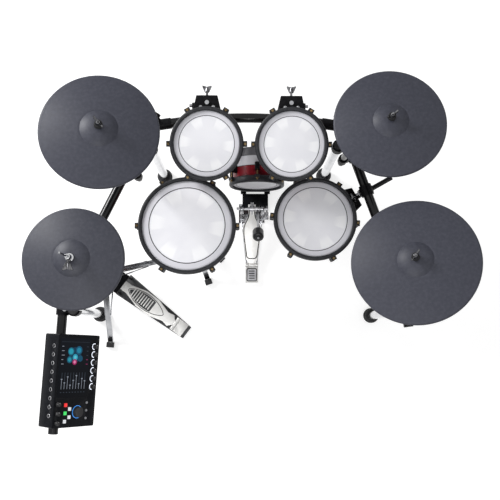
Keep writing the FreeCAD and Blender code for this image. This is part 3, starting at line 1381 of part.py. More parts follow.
pull_solid = fused("hihat_pull_rod", [cut("stirrup", stirrup_blank, [stirrup_window]), pull_rod])
node("hihat_rod", [pull_solid, clutch, clutch_wing])
node("hihat_pad", pad_layers("hihat", hihat_dia, rod_frame * at(0, 0, hihat_rim_z.value)))

# Kick drum, lying on its side with the head towards the player.
kick_place = Placement(Vector(kick_x.value, kick_head_y.value + kick_depth.value, kick_z.value),
                       Rotation(ALONG_X, 90))
kick_axis_y = kick_place.Base.y
drum("kick", kick_radius, kick_depth, kick_place, 30)

# Kick tower: an open-backed column with a cradle under the shell, on two floor rails.
tower_height = kick_z - kick_radius * 0.55
tower_block = block("kick_tower_block", tower_width, tower_length, tower_height,
                    at(kick_x.value, tower_front_y.value + tower_length.value / 2, tower_foot_height.value))
tower_hollow = block("kick_tower_hollow", tower_width - tower_wall * 2, tower_length, tower_height,
                     at(kick_x.value, tower_front_y.value + tower_wall.value + tower_length.value / 2,
                        tower_foot_height.value))
cradle = cylinder("kick_tower_cradle", (kick_radius + seat_gap) * 2, kick_depth * 3,
                  along(Vector(kick_x.value, kick_axis_y + kick_depth.value, kick_z.value), ALONG_Y * -1))
notch = block("kick_tower_notch", tower_notch_width, tower_wall * 4, tower_notch_depth + kick_radius,
              at(kick_x.value, tower_front_y.value,
                 kick_z.value - kick_radius.value - tower_notch_depth.value))
tower_shell = cut("kick_tower_column", tower_block, [tower_hollow, cradle, notch])
tower_feet = []
for sign in (-1, 1):
    tower_feet.append(block(f"kick_tower_foot_{sign}", tower_foot_width, tower_foot_length, tower_foot_height,
                            at(kick_x.value + sign * (tower_width.value - tower_foot_width.value) / 2,
                               tower_front_y.value - tower_foot_lead.value + tower_foot_length.value / 2, 0)))
clamp_plate = block("kick_clamp_plate", clamp_plate_width, clamp_plate_length, clamp_plate_thick,
                    at(kick_x.value,
                       tower_front_y.value - tower_foot_lead.value - clamp_plate_length.value / 2,
                       pedal_plate_thick.value))
node("kick_tower", [tower_shell] + tower_feet + [clamp_plate])

# Kick pedal frame: a base plate, two pillars with bosses, radius rods, the spring's anchor and the heel.
axle_bore = cylinder("pedal_axle_bore", axle_dia + run_gap * 2, axle_length * 2,
                     along(Vector(pedal_x.value, axle_y.value, axle_z.value), ALONG_X, -axle_length.value))
pedal_items = []
radius_rod_bores = []
rod_bore_dia = radius_rod_dia + seat_gap * 2
rod_axis_z = radius_rod_lift.value + radius_rod_dia.value / 2
for sign in (-1, 1):
    pillar_x = pedal_x.value + sign * pillar_spacing.value / 2
    pillar = block(f"pedal_pillar_bar_{sign}", pillar_width, pillar_depth, axle_z - pedal_plate_thick,
                   at(pillar_x, axle_y.value, pedal_plate_thick.value))
    boss = cylinder(f"pedal_boss_{sign}", bearing_boss_dia, pillar_width,
                    along(Vector(pillar_x, axle_y.value, axle_z.value), ALONG_X, -pillar_width.value / 2))
    pedal_items.append(cut(f"pedal_pillar_{sign}", fused(f"pedal_pillar_blank_{sign}", [pillar, boss]),
                           [axle_bore]))
    heel_side = pedal_x.value + sign * (heel_width.value / 2 - radius_rod_dia.value)
    rod_from = Vector(pillar_x, pedal_plate_front_y.value + radius_rod_bury.value, rod_axis_z)
    rod_to = Vector(heel_side, heel_hinge_y.value - radius_rod_bury.value / 2, rod_axis_z)
    rod_place = along(rod_from, rod_to - rod_from)
    rod_length = (rod_to - rod_from).Length
    pedal_items.append(cylinder(f"pedal_radius_rod_{sign}", radius_rod_dia, rod_length, rod_place))
    radius_rod_bores.append(cylinder(f"pedal_rod_bore_{sign}", rod_bore_dia, rod_length + seat_gap.value * 2,
                                     rod_place * at(0, 0, -seat_gap.value)))
pedal_plate = block("pedal_plate_blank", pillar_spacing + pillar_width * 2,
                    pedal_plate_back_y - pedal_plate_front_y,
                    pedal_plate_thick,
                    at(pedal_x.value, (pedal_plate_back_y.value + pedal_plate_front_y.value) / 2, 0))
pedal_items.append(cut("pedal_base_plate", pedal_plate, radius_rod_bores))
spring_x = axle_length / 2 - rocker_width / 2
spring_y = axle_y - rocker_reach + rocker_width / 2
pillar_face = (pillar_spacing + pillar_width) / 2
anchor_length = spring_x + anchor_lip - pillar_face
pedal_items.append(block("spring_anchor", anchor_length, pillar_depth, anchor_thick,
                         at(pedal_x.value + pillar_face.value + anchor_length.value / 2,
                            spring_y.value + pillar_depth.value / 4,
                            spring_foot_z.value - anchor_thick.value)))
kick_heel_frame = Placement(Vector(pedal_x.value, heel_hinge_y.value, 0), Rotation(UP, -90))
pedal_heel = heel_block("pedal_heel_blank", kick_heel_frame, Size.of(0), heel_length, heel_width, Size.of(0))
pedal_items.append(cut("pedal_heel", pedal_heel, radius_rod_bores))
node("pedal_frame", pedal_items)

# Footboard: wide in the middle, narrow at the toe, with a chain clip.
waist_half = footboard_waist_width / 2
kick_edge = [
    (footboard_start, hinge_knuckle_width / 2), (footboard_start + footboard_flare, footboard_heel_width / 2),
    (footboard_waist, waist_half),
    (footboard_waist + footboard_shoulder, waist_half - footboard_shoulder_inset),
    (footboard_length - footboard_toe_run, footboard_toe_width / 2),
    (footboard_length, footboard_toe_width / 2)]
kick_outline = mirrored(kick_edge, waist_half)
kick_board, kick_board_frame = footboard("kick_footboard_solid", kick_heel_frame, Size.of(0),
                                         footboard_slope.value, kick_outline, footboard_thick)
toe_clip = block("toe_clip", toe_clip_length, toe_clip_width, toe_clip_height,
                 kick_board_frame * at(footboard_length.value - toe_clip_length.value / 2, 0,
                                       footboard_thick.value / 2))
node("kick_footboard", [kick_board, toe_clip])

# Axle with toothed sprocket, beater hub and shaft, and the spring rocker.
axle_centre = Vector(pedal_x.value, axle_y.value, axle_z.value)
axle = cylinder("kick_axle_bar", axle_dia, axle_length, along(axle_centre, ALONG_X, -axle_length.value / 2))
sprocket_disc = cylinder("sprocket_disc", (sprocket_radius - chain_room) * 2 - chain_roller_dia,
                         sprocket_width,
                         along(axle_centre, ALONG_X, -sprocket_width.value / 2))
tooth = block("sprocket_tooth", tooth_width, sprocket_width * 0.6, tooth_height,
              at(0, 0, sprocket_radius.value - tooth_height.value))
tooth_step = 360.0 / tooth_count.value
tooth_turns = []
for index in range(int(tooth_count.value)):
    spin = Rotation(ALONG_X, -tooth_step * (index + tooth_phase.value))
    tooth_turns.append(Placement(axle_centre, spin * Rotation(UP, 90)))
teeth = copies("sprocket_teeth", tooth, tooth_turns)
sprocket_hub = cylinder("sprocket_hub", sprocket_hub_dia, sprocket_hub_width,
                        along(axle_centre, ALONG_X, -sprocket_hub_width.value / 2))
beater_point = axle_centre + ALONG_X * beater_offset.value
beater_way = Vector(0, -math.sin(math.radians(beater_lean.value)), math.cos(math.radians(beater_lean.value)))
beater_hub = cylinder("beater_hub", beater_hub_dia, beater_hub_width,
                      along(beater_point, ALONG_X, -beater_hub_width.value / 2))
beater_shaft = cylinder("beater_shaft", beater_shaft_dia, beater_length + beater_height / 2,
                        along(beater_point, beater_way))
rocker_x = axle_length / 2 - rocker_width
rocker_foot = axle_centre + ALONG_X * rocker_x.value
rocker_disc = cylinder("rocker_disc", rocker_dia, rocker_width, along(rocker_foot, ALONG_X))
rocker_arm = block("rocker_arm", rocker_width, rocker_reach, rocker_dia / 2,
                   Placement(rocker_foot - ALONG_Y * (rocker_reach.value / 2)
                             + Vector(rocker_width.value / 2, 0, -rocker_dia.value / 4), Rotation()))
node("kick_axle", [fused("kick_axle_solid", [
    axle, sprocket_disc, teeth, sprocket_hub, beater_hub, beater_shaft, rocker_disc, rocker_arm])])
beater_frame = along(beater_point, beater_way)
half_beater = beater_height / 2
beater_bore = beater_shaft_dia / 2 + seat_gap
node("kick_beater", [turned("beater_ball", [
    (beater_bore, beater_length - half_beater), (beater_dia / 2 - beater_round, beater_length - half_beater,
                                                 beater_arc, 1),
    (beater_dia / 2, beater_length - half_beater + beater_arc),
    (beater_dia / 2, beater_length + half_beater - beater_arc, beater_arc, 1),
    (beater_dia / 2 - beater_round, beater_length + half_beater),
    (beater_bore, beater_length + half_beater)], beater_frame)])

# Drive chain: pins and paired plates from the sprocket's drum side down to the toe clip.
chain_y = axle_y + sprocket_radius
plate_end = chain_plate_height * 0.35
plate_length_all = chain_pitch + chain_plate_height
chain_plate = padded("chain_plate", [
    (chain_plate_height * 0.25, 0), (chain_plate_height * 0.75, 0), (chain_plate_height, plate_end),
    (chain_plate_height, plate_length_all - plate_end), (chain_plate_height * 0.75, plate_length_all),
    (chain_plate_height * 0.25, plate_length_all), (0, plate_length_all - plate_end), (0, plate_end)],
    chain_plate_thick, Placement(), "YZ_Plane")
plate_places = []
for index in range(int(chain_links.value)):
    low_pin = axle_z.value - (index + 1) * chain_pitch.value
    step_out = chain_plate_thick.value + run_gap.value if index % 2 else 0.0
    for sign in (-1, 1):
        inner_face = sign * (chain_inner_width.value / 2 + step_out)
        plate_x = inner_face if sign > 0 else inner_face - chain_plate_thick.value
        plate_places.append(at(pedal_x.value + plate_x, chain_y.value - chain_plate_height.value / 2,
                               low_pin - chain_plate_height.value / 2))
plates = copies("chain_plates", chain_plate, plate_places)
pin_length = chain_inner_width + (chain_plate_thick * 2 + run_gap) * 2
chain_pin = cylinder("chain_pin", chain_roller_dia, pin_length,
                     along(Vector(), ALONG_X, -pin_length.value / 2))
pin_places = []
for index in range(int(chain_links.value) + 1):
    pin_places.append(at(pedal_x.value, chain_y.value, axle_z.value - index * chain_pitch.value))
node("kick_chain", [fused("kick_chain_links", [plates, copies("chain_pins", chain_pin, pin_places)])])


# Return spring: one helix of tangent arcs from the anchor up to the rocker.

def tangent_arc(start, heading, stop):
    """The arc that leaves a point along a heading and ends at another point."""
    chord = stop - start
    offset = chord - heading * chord.dot(heading)
    radius = chord.Length ** 2 / (2 * offset.Length)
    centre = start + offset.normalize() * radius
    crown = centre + ((start + stop) * 0.5 - centre).normalize() * radius
    return Part.Arc(start, crown, stop).toShape()


def biarc(start, heading, stop, stop_heading):
    """Two tangent arcs between two points with set headings."""
    span = stop - start
    both = heading + stop_heading
    spread = 2 * (1 - heading.dot(stop_heading))
    along_both = span.dot(both)
    reach = (math.sqrt(along_both ** 2 + spread * span.dot(span)) - along_both) / spread
    joint = (start + heading * reach + stop - stop_heading * reach) * 0.5
    back_arc_edge = tangent_arc(stop, stop_heading * -1, joint)
    return [tangent_arc(start, heading, joint), back_arc_edge]


spring_axis = Vector(pedal_x.value + spring_x.value, spring_y.value, 0)
spring_low = spring_foot_z.value + spring_wire_dia.value / 2 + seat_gap.value
rocker_under = axle_z.value - rocker_dia.value / 4
spring_high = rocker_under - run_gap.value - spring_wire_dia.value / 2
spring_pitch = (spring_high - spring_low) / spring_turns.value
spring_mean = spring_mean_dia.value / 2


def spring_point(turns):
    angle = 2 * math.pi * turns
    return spring_axis + Vector(spring_mean * math.cos(angle), spring_mean * math.sin(angle),
                                spring_low + spring_pitch * turns)


def spring_heading(turns):
    angle = 2 * math.pi * turns
    circle = 2 * math.pi * spring_mean
    return Vector(-math.sin(angle) * circle, math.cos(angle) * circle, spring_pitch).normalize()


spring_edges = []
half_turns = int(spring_turns.value * 2)
for index in range(half_turns):
    here, there = index / 2, (index + 1) / 2
    spring_edges += biarc(spring_point(here), spring_heading(here), spring_point(there),
                          spring_heading(there))
spring_wire = Part.Wire(Part.__sortEdges__(spring_edges))
wire_ring = Part.Wire(Part.makeCircle(spring_wire_dia.value / 2, spring_point(0), spring_heading(0)))
spring = doc.addObject("Part::Feature", "kick_spring_coil")
spring.Shape = spring_wire.makePipeShell([wire_ring], True, False)
node("kick_spring", [spring])
samples_per_turn = 24
spring_samples = [spring_point(index / samples_per_turn)
                  for index in range(int(spring_turns.value) * samples_per_turn + 1)]
least_gap = min((spring_samples[first] - spring_samples[second]).Length
                for first in range(len(spring_samples))
                for second in range(first + samples_per_turn // 2, len(spring_samples)))
print("spring least gap to itself", round(least_gap - spring_wire_dia.value, 2))

# Sound module on the left rail. Its own frame has X across the face, Y along the rail towards
# the back and Z out of the face, with the origin at the near corner of the case's front.
module_rail_point, module_rail_heading = left_rail.front_station(module_rail_station.value)
back_along_rail = module_rail_heading * -1
face_normal = Rotation(back_along_rail, module_slope.value).multVec(UP)
face_across = back_along_rail.cross(face_normal)
rail_behind_face = module_depth + mount_plate_thick + mount_ring_wall + run_gap + tube_dia / 2
face_corner = (module_rail_point + face_normal * rail_behind_face.value
               - face_across * (module_width.value / 2 + module_shift.value)
               - back_along_rail * (module_length.value / 2))
module_frame = frame_of(face_corner, face_across, face_normal)


def on_face(x, down, height=0.0):
    """A place on the module's face, measured across and down from its far corner."""
    return module_frame * at(Size.of(x).value, module_length.value - Size.of(down).value,
                             Size.of(height).value)


def case_half(name, foot, height):
    side, far = module_width - module_round, module_length - module_round
    return padded(name, [
        (module_round, 0), (side, 0, module_round, 1), (module_width, module_round),
        (module_width, far, module_round, 1), (side, module_length),
        (module_round, module_length, module_round, 1),
        (0, far), (0, module_round, module_round, 1)], height, module_frame * at(0, 0, Size.of(foot).value))


cover_height = module_depth * module_split
tray_height = module_depth - cover_height
face_cuts = [block("screen_pocket", screen_width + seat_gap * 2, screen_length + seat_gap * 2, screen_thick,
                   on_face(screen_offset_x + screen_width / 2, screen_offset_y + screen_length / 2,
                           screen_proud.value - screen_thick.value))]
screen = block("screen_panel", screen_width, screen_length, screen_thick,
               on_face(screen_offset_x + screen_width / 2, screen_offset_y + screen_length / 2,
                       screen_proud.value - screen_thick.value))
node("module_screen", [screen])
module_joints = {}


def knob(name, diameter, height, x, down):
    """A turning knob with a skirt, on a shaft that runs in the case."""
    points = [
        (0, run_gap - knob_shaft_length), (knob_shaft_dia / 2, run_gap - knob_shaft_length),
        (knob_shaft_dia / 2, run_gap), (diameter / 2, run_gap), (diameter / 2, run_gap + height * 0.2),
        (diameter / 2 * 0.86, run_gap + height * 0.3), (diameter / 2 * 0.8, run_gap + height * 0.92),
        (diameter / 2 * 0.72, run_gap + height), (0, run_gap + height)]
    shifted = [(point[0], point[1] + knob_shaft_length) for point in points]
    place = on_face(x, down)
    node(name, [turned(f"{name}_knob", shifted, place * at(0, 0, -knob_shaft_length.value))])
    face_cuts.append(cylinder(f"{name}_bore", knob_shaft_dia + run_gap * 2, knob_shaft_length * 2,
                              place * at(0, 0, -knob_shaft_length.value)))
    module_joints[name] = place.Base


for index in range(int(encoder_count.value)):
    knob(f"encoder_{index + 1}", encoder_dia, encoder_height, encoder_x,
         encoder_first_y + encoder_pitch * index)
knob("main_dial", dial_dia, dial_height, dial_x, dial_y)
for index in range(int(volume_count.value)):
    knob(f"volume_{index + 1}", volume_dia, volume_height, volume_x, volume_first_y + volume_pitch * index)

# Square buttons stand in two columns, three and two, and the round ones in a third.
square_spots = [(button_x, button_first_y + button_pitch * index) for index in range(3)]
square_spots += [(button_x + button_step_x,
                  button_first_y + button_pitch * (index + 0.5)) for index in range(2)]
button_height = button_proud + button_depth
button_pit = button_depth + button_travel_room
for index, (x, down) in enumerate(square_spots):
    name = f"button_{index + 1}"
    node(name,
         [block(f"{name}_cap", button_side, button_side, button_height, on_face(x, down, button_depth * -1))])
    face_cuts.append(block(f"{name}_pit", button_side + run_gap * 2, button_side + run_gap * 2,
                           button_pit * 2,
                           on_face(x, down, button_pit * -1)))
    module_joints[name] = on_face(x, down).Base
for index in range(int(round_button_count.value)):
    name = f"round_button_{index + 1}"
    down = round_button_first_y + round_button_pitch * index
    node(name,
         [cylinder(f"{name}_cap", round_button_dia, button_height,
                   on_face(round_button_x, down, button_depth * -1))])
    face_cuts.append(cylinder(f"{name}_pit", round_button_dia + run_gap * 2, button_pit * 2,
                              on_face(round_button_x, down, button_pit * -1)))
    module_joints[name] = on_face(round_button_x, down).Base
jack_first = module_length / 2 - jack_pitch * (jack_count - 1) / 2
for index in range(int(jack_count.value)):
    mouth = on_face(0, jack_first + jack_pitch * index, cover_height * -0.5)
    face_cuts.append(cylinder(f"jack_{index + 1}", jack_dia, jack_recess * 2,
                              mouth * at(-jack_recess.value, 0, 0, ALONG_Y, 90)))
cover = cut("module_cover", case_half("module_cover_blank", cover_height * -1, cover_height), face_cuts)
tray = case_half("module_tray", module_depth * -1, tray_height)

# The mount: a plate on the tray's back and a ring round the rail.
plate_place = module_frame * at(module_width.value / 2, module_length.value / 2,
                                -module_depth.value - mount_plate_thick.value)
mount_plate = block("mount_plate", mount_plate_width, mount_plate_length, mount_plate_thick, plate_place)
ring_dia = tube_dia + (run_gap + mount_ring_wall) * 2
ring = cylinder("mount_ring_blank", ring_dia, mount_ring_length,
                along(module_rail_point, module_rail_heading, -mount_ring_length.value / 2))
ring_neck = block("mount_neck", ring_dia * 0.7, mount_ring_length, ring_dia / 2,
                  frame_of(module_rail_point, face_across, face_normal))
ring_bore = cylinder("mount_ring_bore", tube_dia + run_gap * 2, mount_ring_length * 2,
                     along(module_rail_point, module_rail_heading, -mount_ring_length.value))
mount = cut("module_mount", fused("module_mount_blank", [mount_plate, ring, ring_neck]), [ring_bore])
node("module_case", [cover, tray, mount])
node("rail_clamps", clamp_items)
node("clamp_bolts", bolt_items)
node("rubber_feet", rubber_items)

# Stand the kit over the origin, test every object and write each sub-part.
doc.recompute()
whole = FreeCAD.BoundBox()
for item in nodes:
    whole.add(item.Shape.optimalBoundingBox(False, False))
shift = Vector(-whole.Center.x, -whole.Center.y, -whole.ZMin)
for item in nodes:
    item.Placement = Placement(shift, Rotation()) * item.Placement
doc.recompute()
for item in doc.Objects:
    if "Invalid" in item.State or "Error" in item.State:
        raise RuntimeError(f"{item.Label} could not be built")
os.makedirs("parts", exist_ok=True)
for item in nodes:
    shape = item.Shape
    if shape.isNull() or not shape.isValid():
        raise RuntimeError(f"{item.Label} has no valid shape")
    shape.exportStep(f"parts/{item.Label}.step")
print("nodes", len(nodes), "solids", sum(len(item.Shape.Solids) for item in nodes))
print("box", round(whole.XLength, 1), round(whole.YLength, 1), round(whole.ZLength, 1))
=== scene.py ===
import math
from functools import partialmethod

import bmesh
import bpy
from mathutils import Matrix, Vector


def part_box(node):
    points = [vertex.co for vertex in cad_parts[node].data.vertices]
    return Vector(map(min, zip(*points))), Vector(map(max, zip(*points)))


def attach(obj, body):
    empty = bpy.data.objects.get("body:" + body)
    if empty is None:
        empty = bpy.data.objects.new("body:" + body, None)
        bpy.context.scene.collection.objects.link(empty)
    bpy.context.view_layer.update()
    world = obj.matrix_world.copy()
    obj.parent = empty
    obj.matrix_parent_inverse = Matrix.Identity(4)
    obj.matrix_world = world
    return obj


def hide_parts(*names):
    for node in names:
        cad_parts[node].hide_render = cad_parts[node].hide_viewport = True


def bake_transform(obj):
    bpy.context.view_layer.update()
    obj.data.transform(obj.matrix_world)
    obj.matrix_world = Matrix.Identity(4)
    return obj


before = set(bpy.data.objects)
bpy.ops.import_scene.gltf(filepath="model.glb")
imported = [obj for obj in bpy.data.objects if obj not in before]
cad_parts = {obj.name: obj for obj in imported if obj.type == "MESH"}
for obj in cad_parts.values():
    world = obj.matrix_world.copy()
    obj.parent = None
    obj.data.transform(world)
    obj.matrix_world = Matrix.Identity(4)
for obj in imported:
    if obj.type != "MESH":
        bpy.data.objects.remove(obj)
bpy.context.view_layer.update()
scene = bpy.context.scene
scene.view_settings.view_transform = "Standard"
print("frame loaded with", len(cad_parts), "nodes")

creaseAngle = 38  # degrees from which an edge is shaded sharp
pole = 1e-7  # a ring below this radius is one point

snareSpot = (-0.257, 0.126)
snareLow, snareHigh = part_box("snare_head")
kitShift = Vector(((snareLow.x + snareHigh.x) / 2 - snareSpot[0], (snareLow.y + snareHigh.y) / 2 - snareSpot[1], 0))


def frameAt(origin, zWay, xWay=(1, 0, 0)):
    zAxis = Vector(zWay).normalized()
    xAxis = Vector(xWay)
    xAxis = (xAxis - zAxis * xAxis.dot(zAxis)).normalized()
    place = Matrix((xAxis, zAxis.cross(xAxis), zAxis)).transposed().to_4x4()
    place.translation = Vector(origin) + kitShift
    return place


def shifted(place, x, y, z):
    return place @ Matrix.Translation((x, y, z))


def turned(degrees, axis):
    return Matrix.Rotation(math.radians(degrees), 4, axis)


def spun(radius, turn, height=0.0):
    return Vector((radius * math.cos(turn), radius * math.sin(turn), height))


def boxOf(points):
    return [Vector([pick(point[axis] for point in points) for axis in range(3)]) for pick in (min, max)]


def localBox(points, place):
    back = place.inverted()
    return boxOf([back @ point for point in points])


# Node sockets as values
class Wire:
    def __init__(self, tree, socket):
        self.tree = tree
        self.socket = socket

    def math(self, operation, *others):
        made = self.tree.nodes.new("ShaderNodeMath")
        made.operation = operation
        for index, value in enumerate((self, *others)):
            plug(self.tree, value, made.inputs[index])
        return Wire(self.tree, made.outputs[0])

    def __rsub__(self, other):
        return (self * -1) + other

    __add__ = __radd__ = partialmethod(math, "ADD")
    __mul__ = __rmul__ = partialmethod(math, "MULTIPLY")
    __sub__ = partialmethod(math, "SUBTRACT")
    __gt__ = partialmethod(math, "GREATER_THAN")
    __lt__ = partialmethod(math, "LESS_THAN")
    __abs__ = partialmethod(math, "ABSOLUTE")


def plug(tree, value, socket):
    if isinstance(value, Wire):
        tree.links.new(value.socket, socket)
    else:
        socket.default_value = value


def colour(value):
    return value if isinstance(value, Wire) else (*value, 1)


class Graph:
    def __init__(self, tree, family="ShaderNode"):
        self.tree = tree
        self.family = family
        tree.nodes.clear()

    def node(self, kind, settings=None, sockets=None, out=0):
        made = self.tree.nodes.new(kind if kind.startswith("ShaderNode") else self.family + kind)
        for label, value in (settings or {}).items():
            setattr(made, label, value)
        for label, value in (sockets or {}).items():
            plug(self.tree, value, made.inputs[label])
        return Wire(self.tree, made.outputs[out])

    def close(self, kind, label, value):
        plug(self.tree, value, self.tree.nodes.new(kind).inputs[label])


class Look(Graph):
    def __init__(self, name, fixed=None):
        self.material = bpy.data.materials.new(name)
        self.material.use_nodes = True
        super().__init__(self.material.node_tree)
        self.shader = self.tree.nodes.new("ShaderNodeBsdfPrincipled")
        self.close("ShaderNodeOutputMaterial", "Surface", Wire(self.tree, self.shader.outputs[0]))
        for label, value in (fixed or {}).items():
            self.set(label, value)

    def set(self, label, value):
        plug(self.tree, value, self.shader.inputs[label])

    def spots(self, stretch=(1, 1, 1)):
        where = self.node("TexCoord", out="Object")
        return self.node("Mapping", sockets={"Vector": where, "Scale": stretch})

    def noise(self, scale, detail=3, stretch=(1, 1, 1)):
        return self.node("TexNoise", sockets={"Vector": self.spots(stretch), "Scale": scale, "Detail": detail})

    def own(self, name, out="Fac"):
        return self.node("Attribute", {"attribute_name": name}, out=out)

    def ownXyz(self, name):
        where = self.own(name, "Vector")
        return [self.node("SeparateXYZ", sockets={"Vector": where}, out=axis) for axis in range(3)]

    def blend(self, share, first, second):
        return self.node("Mix", {"data_type": "RGBA"}, {0: share, 6: colour(first), 7: colour(second)}, 2)

    def soft(self, value, low, high):
        return self.node("MapRange", {"interpolation_type": "SMOOTHSTEP"},
                         {"Value": value, "From Min": low, "From Max": high})

    def bump(self, height, strength, depth=0.0005):
        self.set("Normal", self.node("Bump", sockets={"Height": height, "Strength": strength, "Distance": depth}))


# Plain finishes: two tones, a roughness range, grain per metre, bump, metal, gloss and the grain's stretch
finishColumns = ("dark", "light", "rough", "grain", "bump", "metal", "gloss", "stretch")
finishSizes = {
    "tubeBlack": ((0.005, 0.005, 0.006), (0.009, 0.009, 0.01), (0.08, 0.2), 320, 0.04, 0.0, 0.26),
    "clampBlack": ((0.003, 0.003, 0.0038), (0.008, 0.008, 0.0095), (0.3, 0.55), 1500, 0.12, 0.0, 0.08),
    "towerBlack": ((0.005, 0.005, 0.006), (0.01, 0.01, 0.012), (0.34, 0.55), 1800, 0.16, 0.0, 0.07),
    "chrome": ((0.3, 0.305, 0.32), (0.46, 0.465, 0.48), (0.06, 0.24), 260, 0.02, 1.0),
    "legChrome": ((0.54, 0.545, 0.56), (0.68, 0.685, 0.7), (0.05, 0.18), 240, 0.02, 1.0),
    "kickSilver": ((0.82, 0.81, 0.79), (0.9, 0.89, 0.87), (0.3, 0.46), 700, 0.06, 0.35),
    "boltDark": ((0.07, 0.07, 0.075), (0.22, 0.22, 0.23), (0.1, 0.28), 900, 0.05, 1.0),
    "brass": ((0.15, 0.105, 0.05), (0.3, 0.215, 0.11), (0.2, 0.4), 700, 0.04, 1.0),
    "steel": ((0.4, 0.4, 0.42), (0.56, 0.56, 0.58), (0.22, 0.44), 900, 0.06, 1.0),
    "pedalSilver": ((0.64, 0.635, 0.62), (0.74, 0.735, 0.72), (0.32, 0.54), 520, 0.1, 0.6, 0.5, (1, 7, 7)),
    "rubber": ((0.012, 0.012, 0.013), (0.024, 0.024, 0.026), (0.55, 0.85), 1400, 0.25, 0.0, 0.35),
    "hoopRubber": ((0.01, 0.0105, 0.013), (0.02, 0.021, 0.025), (0.36, 0.56), 1600, 0.14, 0.0, 0.3),
    "felt": ((0.03, 0.03, 0.032), (0.075, 0.074, 0.074), (0.85, 1.0), 2600, 0.6, 0.0, 0.2),
    "casePlastic": ((0.005, 0.0055, 0.0075), (0.009, 0.0098, 0.0125), (0.36, 0.56), 2400, 0.2, 0.0, 0.09),
    "beaterBlack": ((0.006, 0.006, 0.007), (0.012, 0.012, 0.013), (0.2, 0.36), 900, 0.06, 0.0, 0.5),
    "innerGrey": ((0.05, 0.05, 0.054), (0.09, 0.09, 0.095), (0.5, 0.7), 900, 0.1, 0.0, 0.4),
    "pedalDark": ((0.03, 0.031, 0.034), (0.055, 0.056, 0.06), (0.4, 0.65), 1300, 0.2, 0.0, 0.4),
}
coarser = 18  # the broad mottle of a plain finish against its grain


def plainLook(name):
    given = dict(zip(finishColumns, finishSizes[name]))
    look = Look(name, {"Metallic": given["metal"], "Specular IOR Level": given.get("gloss", 0.5)})
    fine = look.noise(given["grain"], 4, given.get("stretch", (1, 1, 1)))
    broad = look.noise(given["grain"] / coarser, 3)
    low, high = given["rough"]
    look.set("Base Color", look.blend(look.soft(broad, 0.3, 0.7), given["dark"], given["light"]))
    look.set("Roughness", low + (fine * 0.6 + broad * 0.4) * (high - low))
    look.bump(fine, given["bump"])
    return look.material


(tubeBlack, clampBlack, towerBlack, chrome, legChrome, kickSilver, boltDark, brass, steel, pedalSilver, rubber,
 hoopRubber, felt, casePlastic, beaterBlack, innerGrey, pedalDark) = [plainLook(name) for name in finishSizes]

# Lacquer: flakes under a coat; the kick's rear is wrapped in a pale band with dark edges
lacquerSizes = {"flakes": 900, "grain": 30, "deep": (0.085, 0.002, 0.006), "bright": (0.24, 0.006, 0.014),
                "bands": ((0.078, (0.02, 0.02, 0.022)), (0.075, (0.5, 0.5, 0.53)), (0.036, (0.1, 0.1, 0.11)))}


def lacquerLook(name, coat, bands=()):
    s = lacquerSizes
    look = Look(name, {"Coat Weight": coat, "Coat Roughness": 0.05, "Specular IOR Level": 0.2})
    flake = look.node("TexVoronoi", sockets={"Vector": look.spots(), "Scale": s["flakes"]}, out="Color")
    glint = look.node("SeparateColor", sockets={"Color": flake})
    grain = look.noise(s["grain"], 5, (1, 1, 0.12))
    paint = look.blend(look.soft(grain, 0.3, 0.75), s["deep"], s["bright"])
    sparkle = look.soft(glint, 0.55, 1.0) * 0.3
    if bands:
        along = look.ownXyz("flat")[2]
        for reach, tone in bands:
            paint = look.blend(along < reach, paint, tone)
        sparkle = sparkle * (along > bands[0][0])
    look.set("Base Color", paint)
    look.set("Metallic", sparkle)
    look.set("Roughness", 0.24 + glint * 0.18)
    return look.material


# Woven head: fine mesh, a thin ring printed near the rim, and paler patches painted in as highlights where the light
# comes through
headSizes = {"weave": 4200, "patches": 6, "patchTurn": 0.6, "patchRise": (0.45, 0.66), "patchFall": (0.78, 0.82),
             "line": (0.829, 0.852), "outer": (0.85, 0.87), "edge": (0.94, 1.0)}
headTones = {"cloth": ((0.79, 0.79, 0.83), (0.83, 0.83, 0.865)), "patch": (0.94, 0.94, 0.958),
             "outer": (0.66, 0.655, 0.7), "edge": (0.45, 0.455, 0.49), "line": (0.05, 0.05, 0.06)}


def headLook():
    s, tones = headSizes, headTones
    look = Look("wovenHead", {"Sheen Weight": 0.1, "Specular IOR Level": 0.4})
    share = look.own("share")
    x, y, _ = look.ownXyz("flat")
    weave = (x * s["weave"]).math("SINE") * (y * s["weave"]).math("SINE")
    angle = y.math("ARCTAN2", x)
    lobes = look.soft((angle * s["patches"] + s["patchTurn"]).math("COSINE"), 0.0, 0.45)
    zone = look.soft(share, *s["patchRise"]) * (1 - look.soft(share, *s["patchFall"]))
    mottle = look.noise(14, 3)
    base = look.blend(look.soft(mottle, 0.3, 0.7), *tones["cloth"])
    # painted highlights: six pale lobes lighten the cloth colour between the patch radii
    lit = look.blend(lobes * zone * 0.75, base, tones["patch"])
    outer = look.blend(look.soft(share, *s["outer"]), lit, tones["outer"])
    edge = look.blend(look.soft(share, *s["edge"]), outer, tones["edge"])
    line = (share > s["line"][0]) * (share < s["line"][1])
    look.set("Base Color", look.blend(line, edge, tones["line"]))
    look.set("Roughness", 0.4 + weave * 0.08 + mottle * 0.12)
    look.bump(weave, 0.12, 0.0002)
    return look.material


# Cymbal rubber: fine turned ridges over the bow, smooth on the bell, scuffed where sticks land
ridgeSizes = {"pitch": 4600, "start": (0.064, 0.07), "grain": 2200, "scuff": 90}


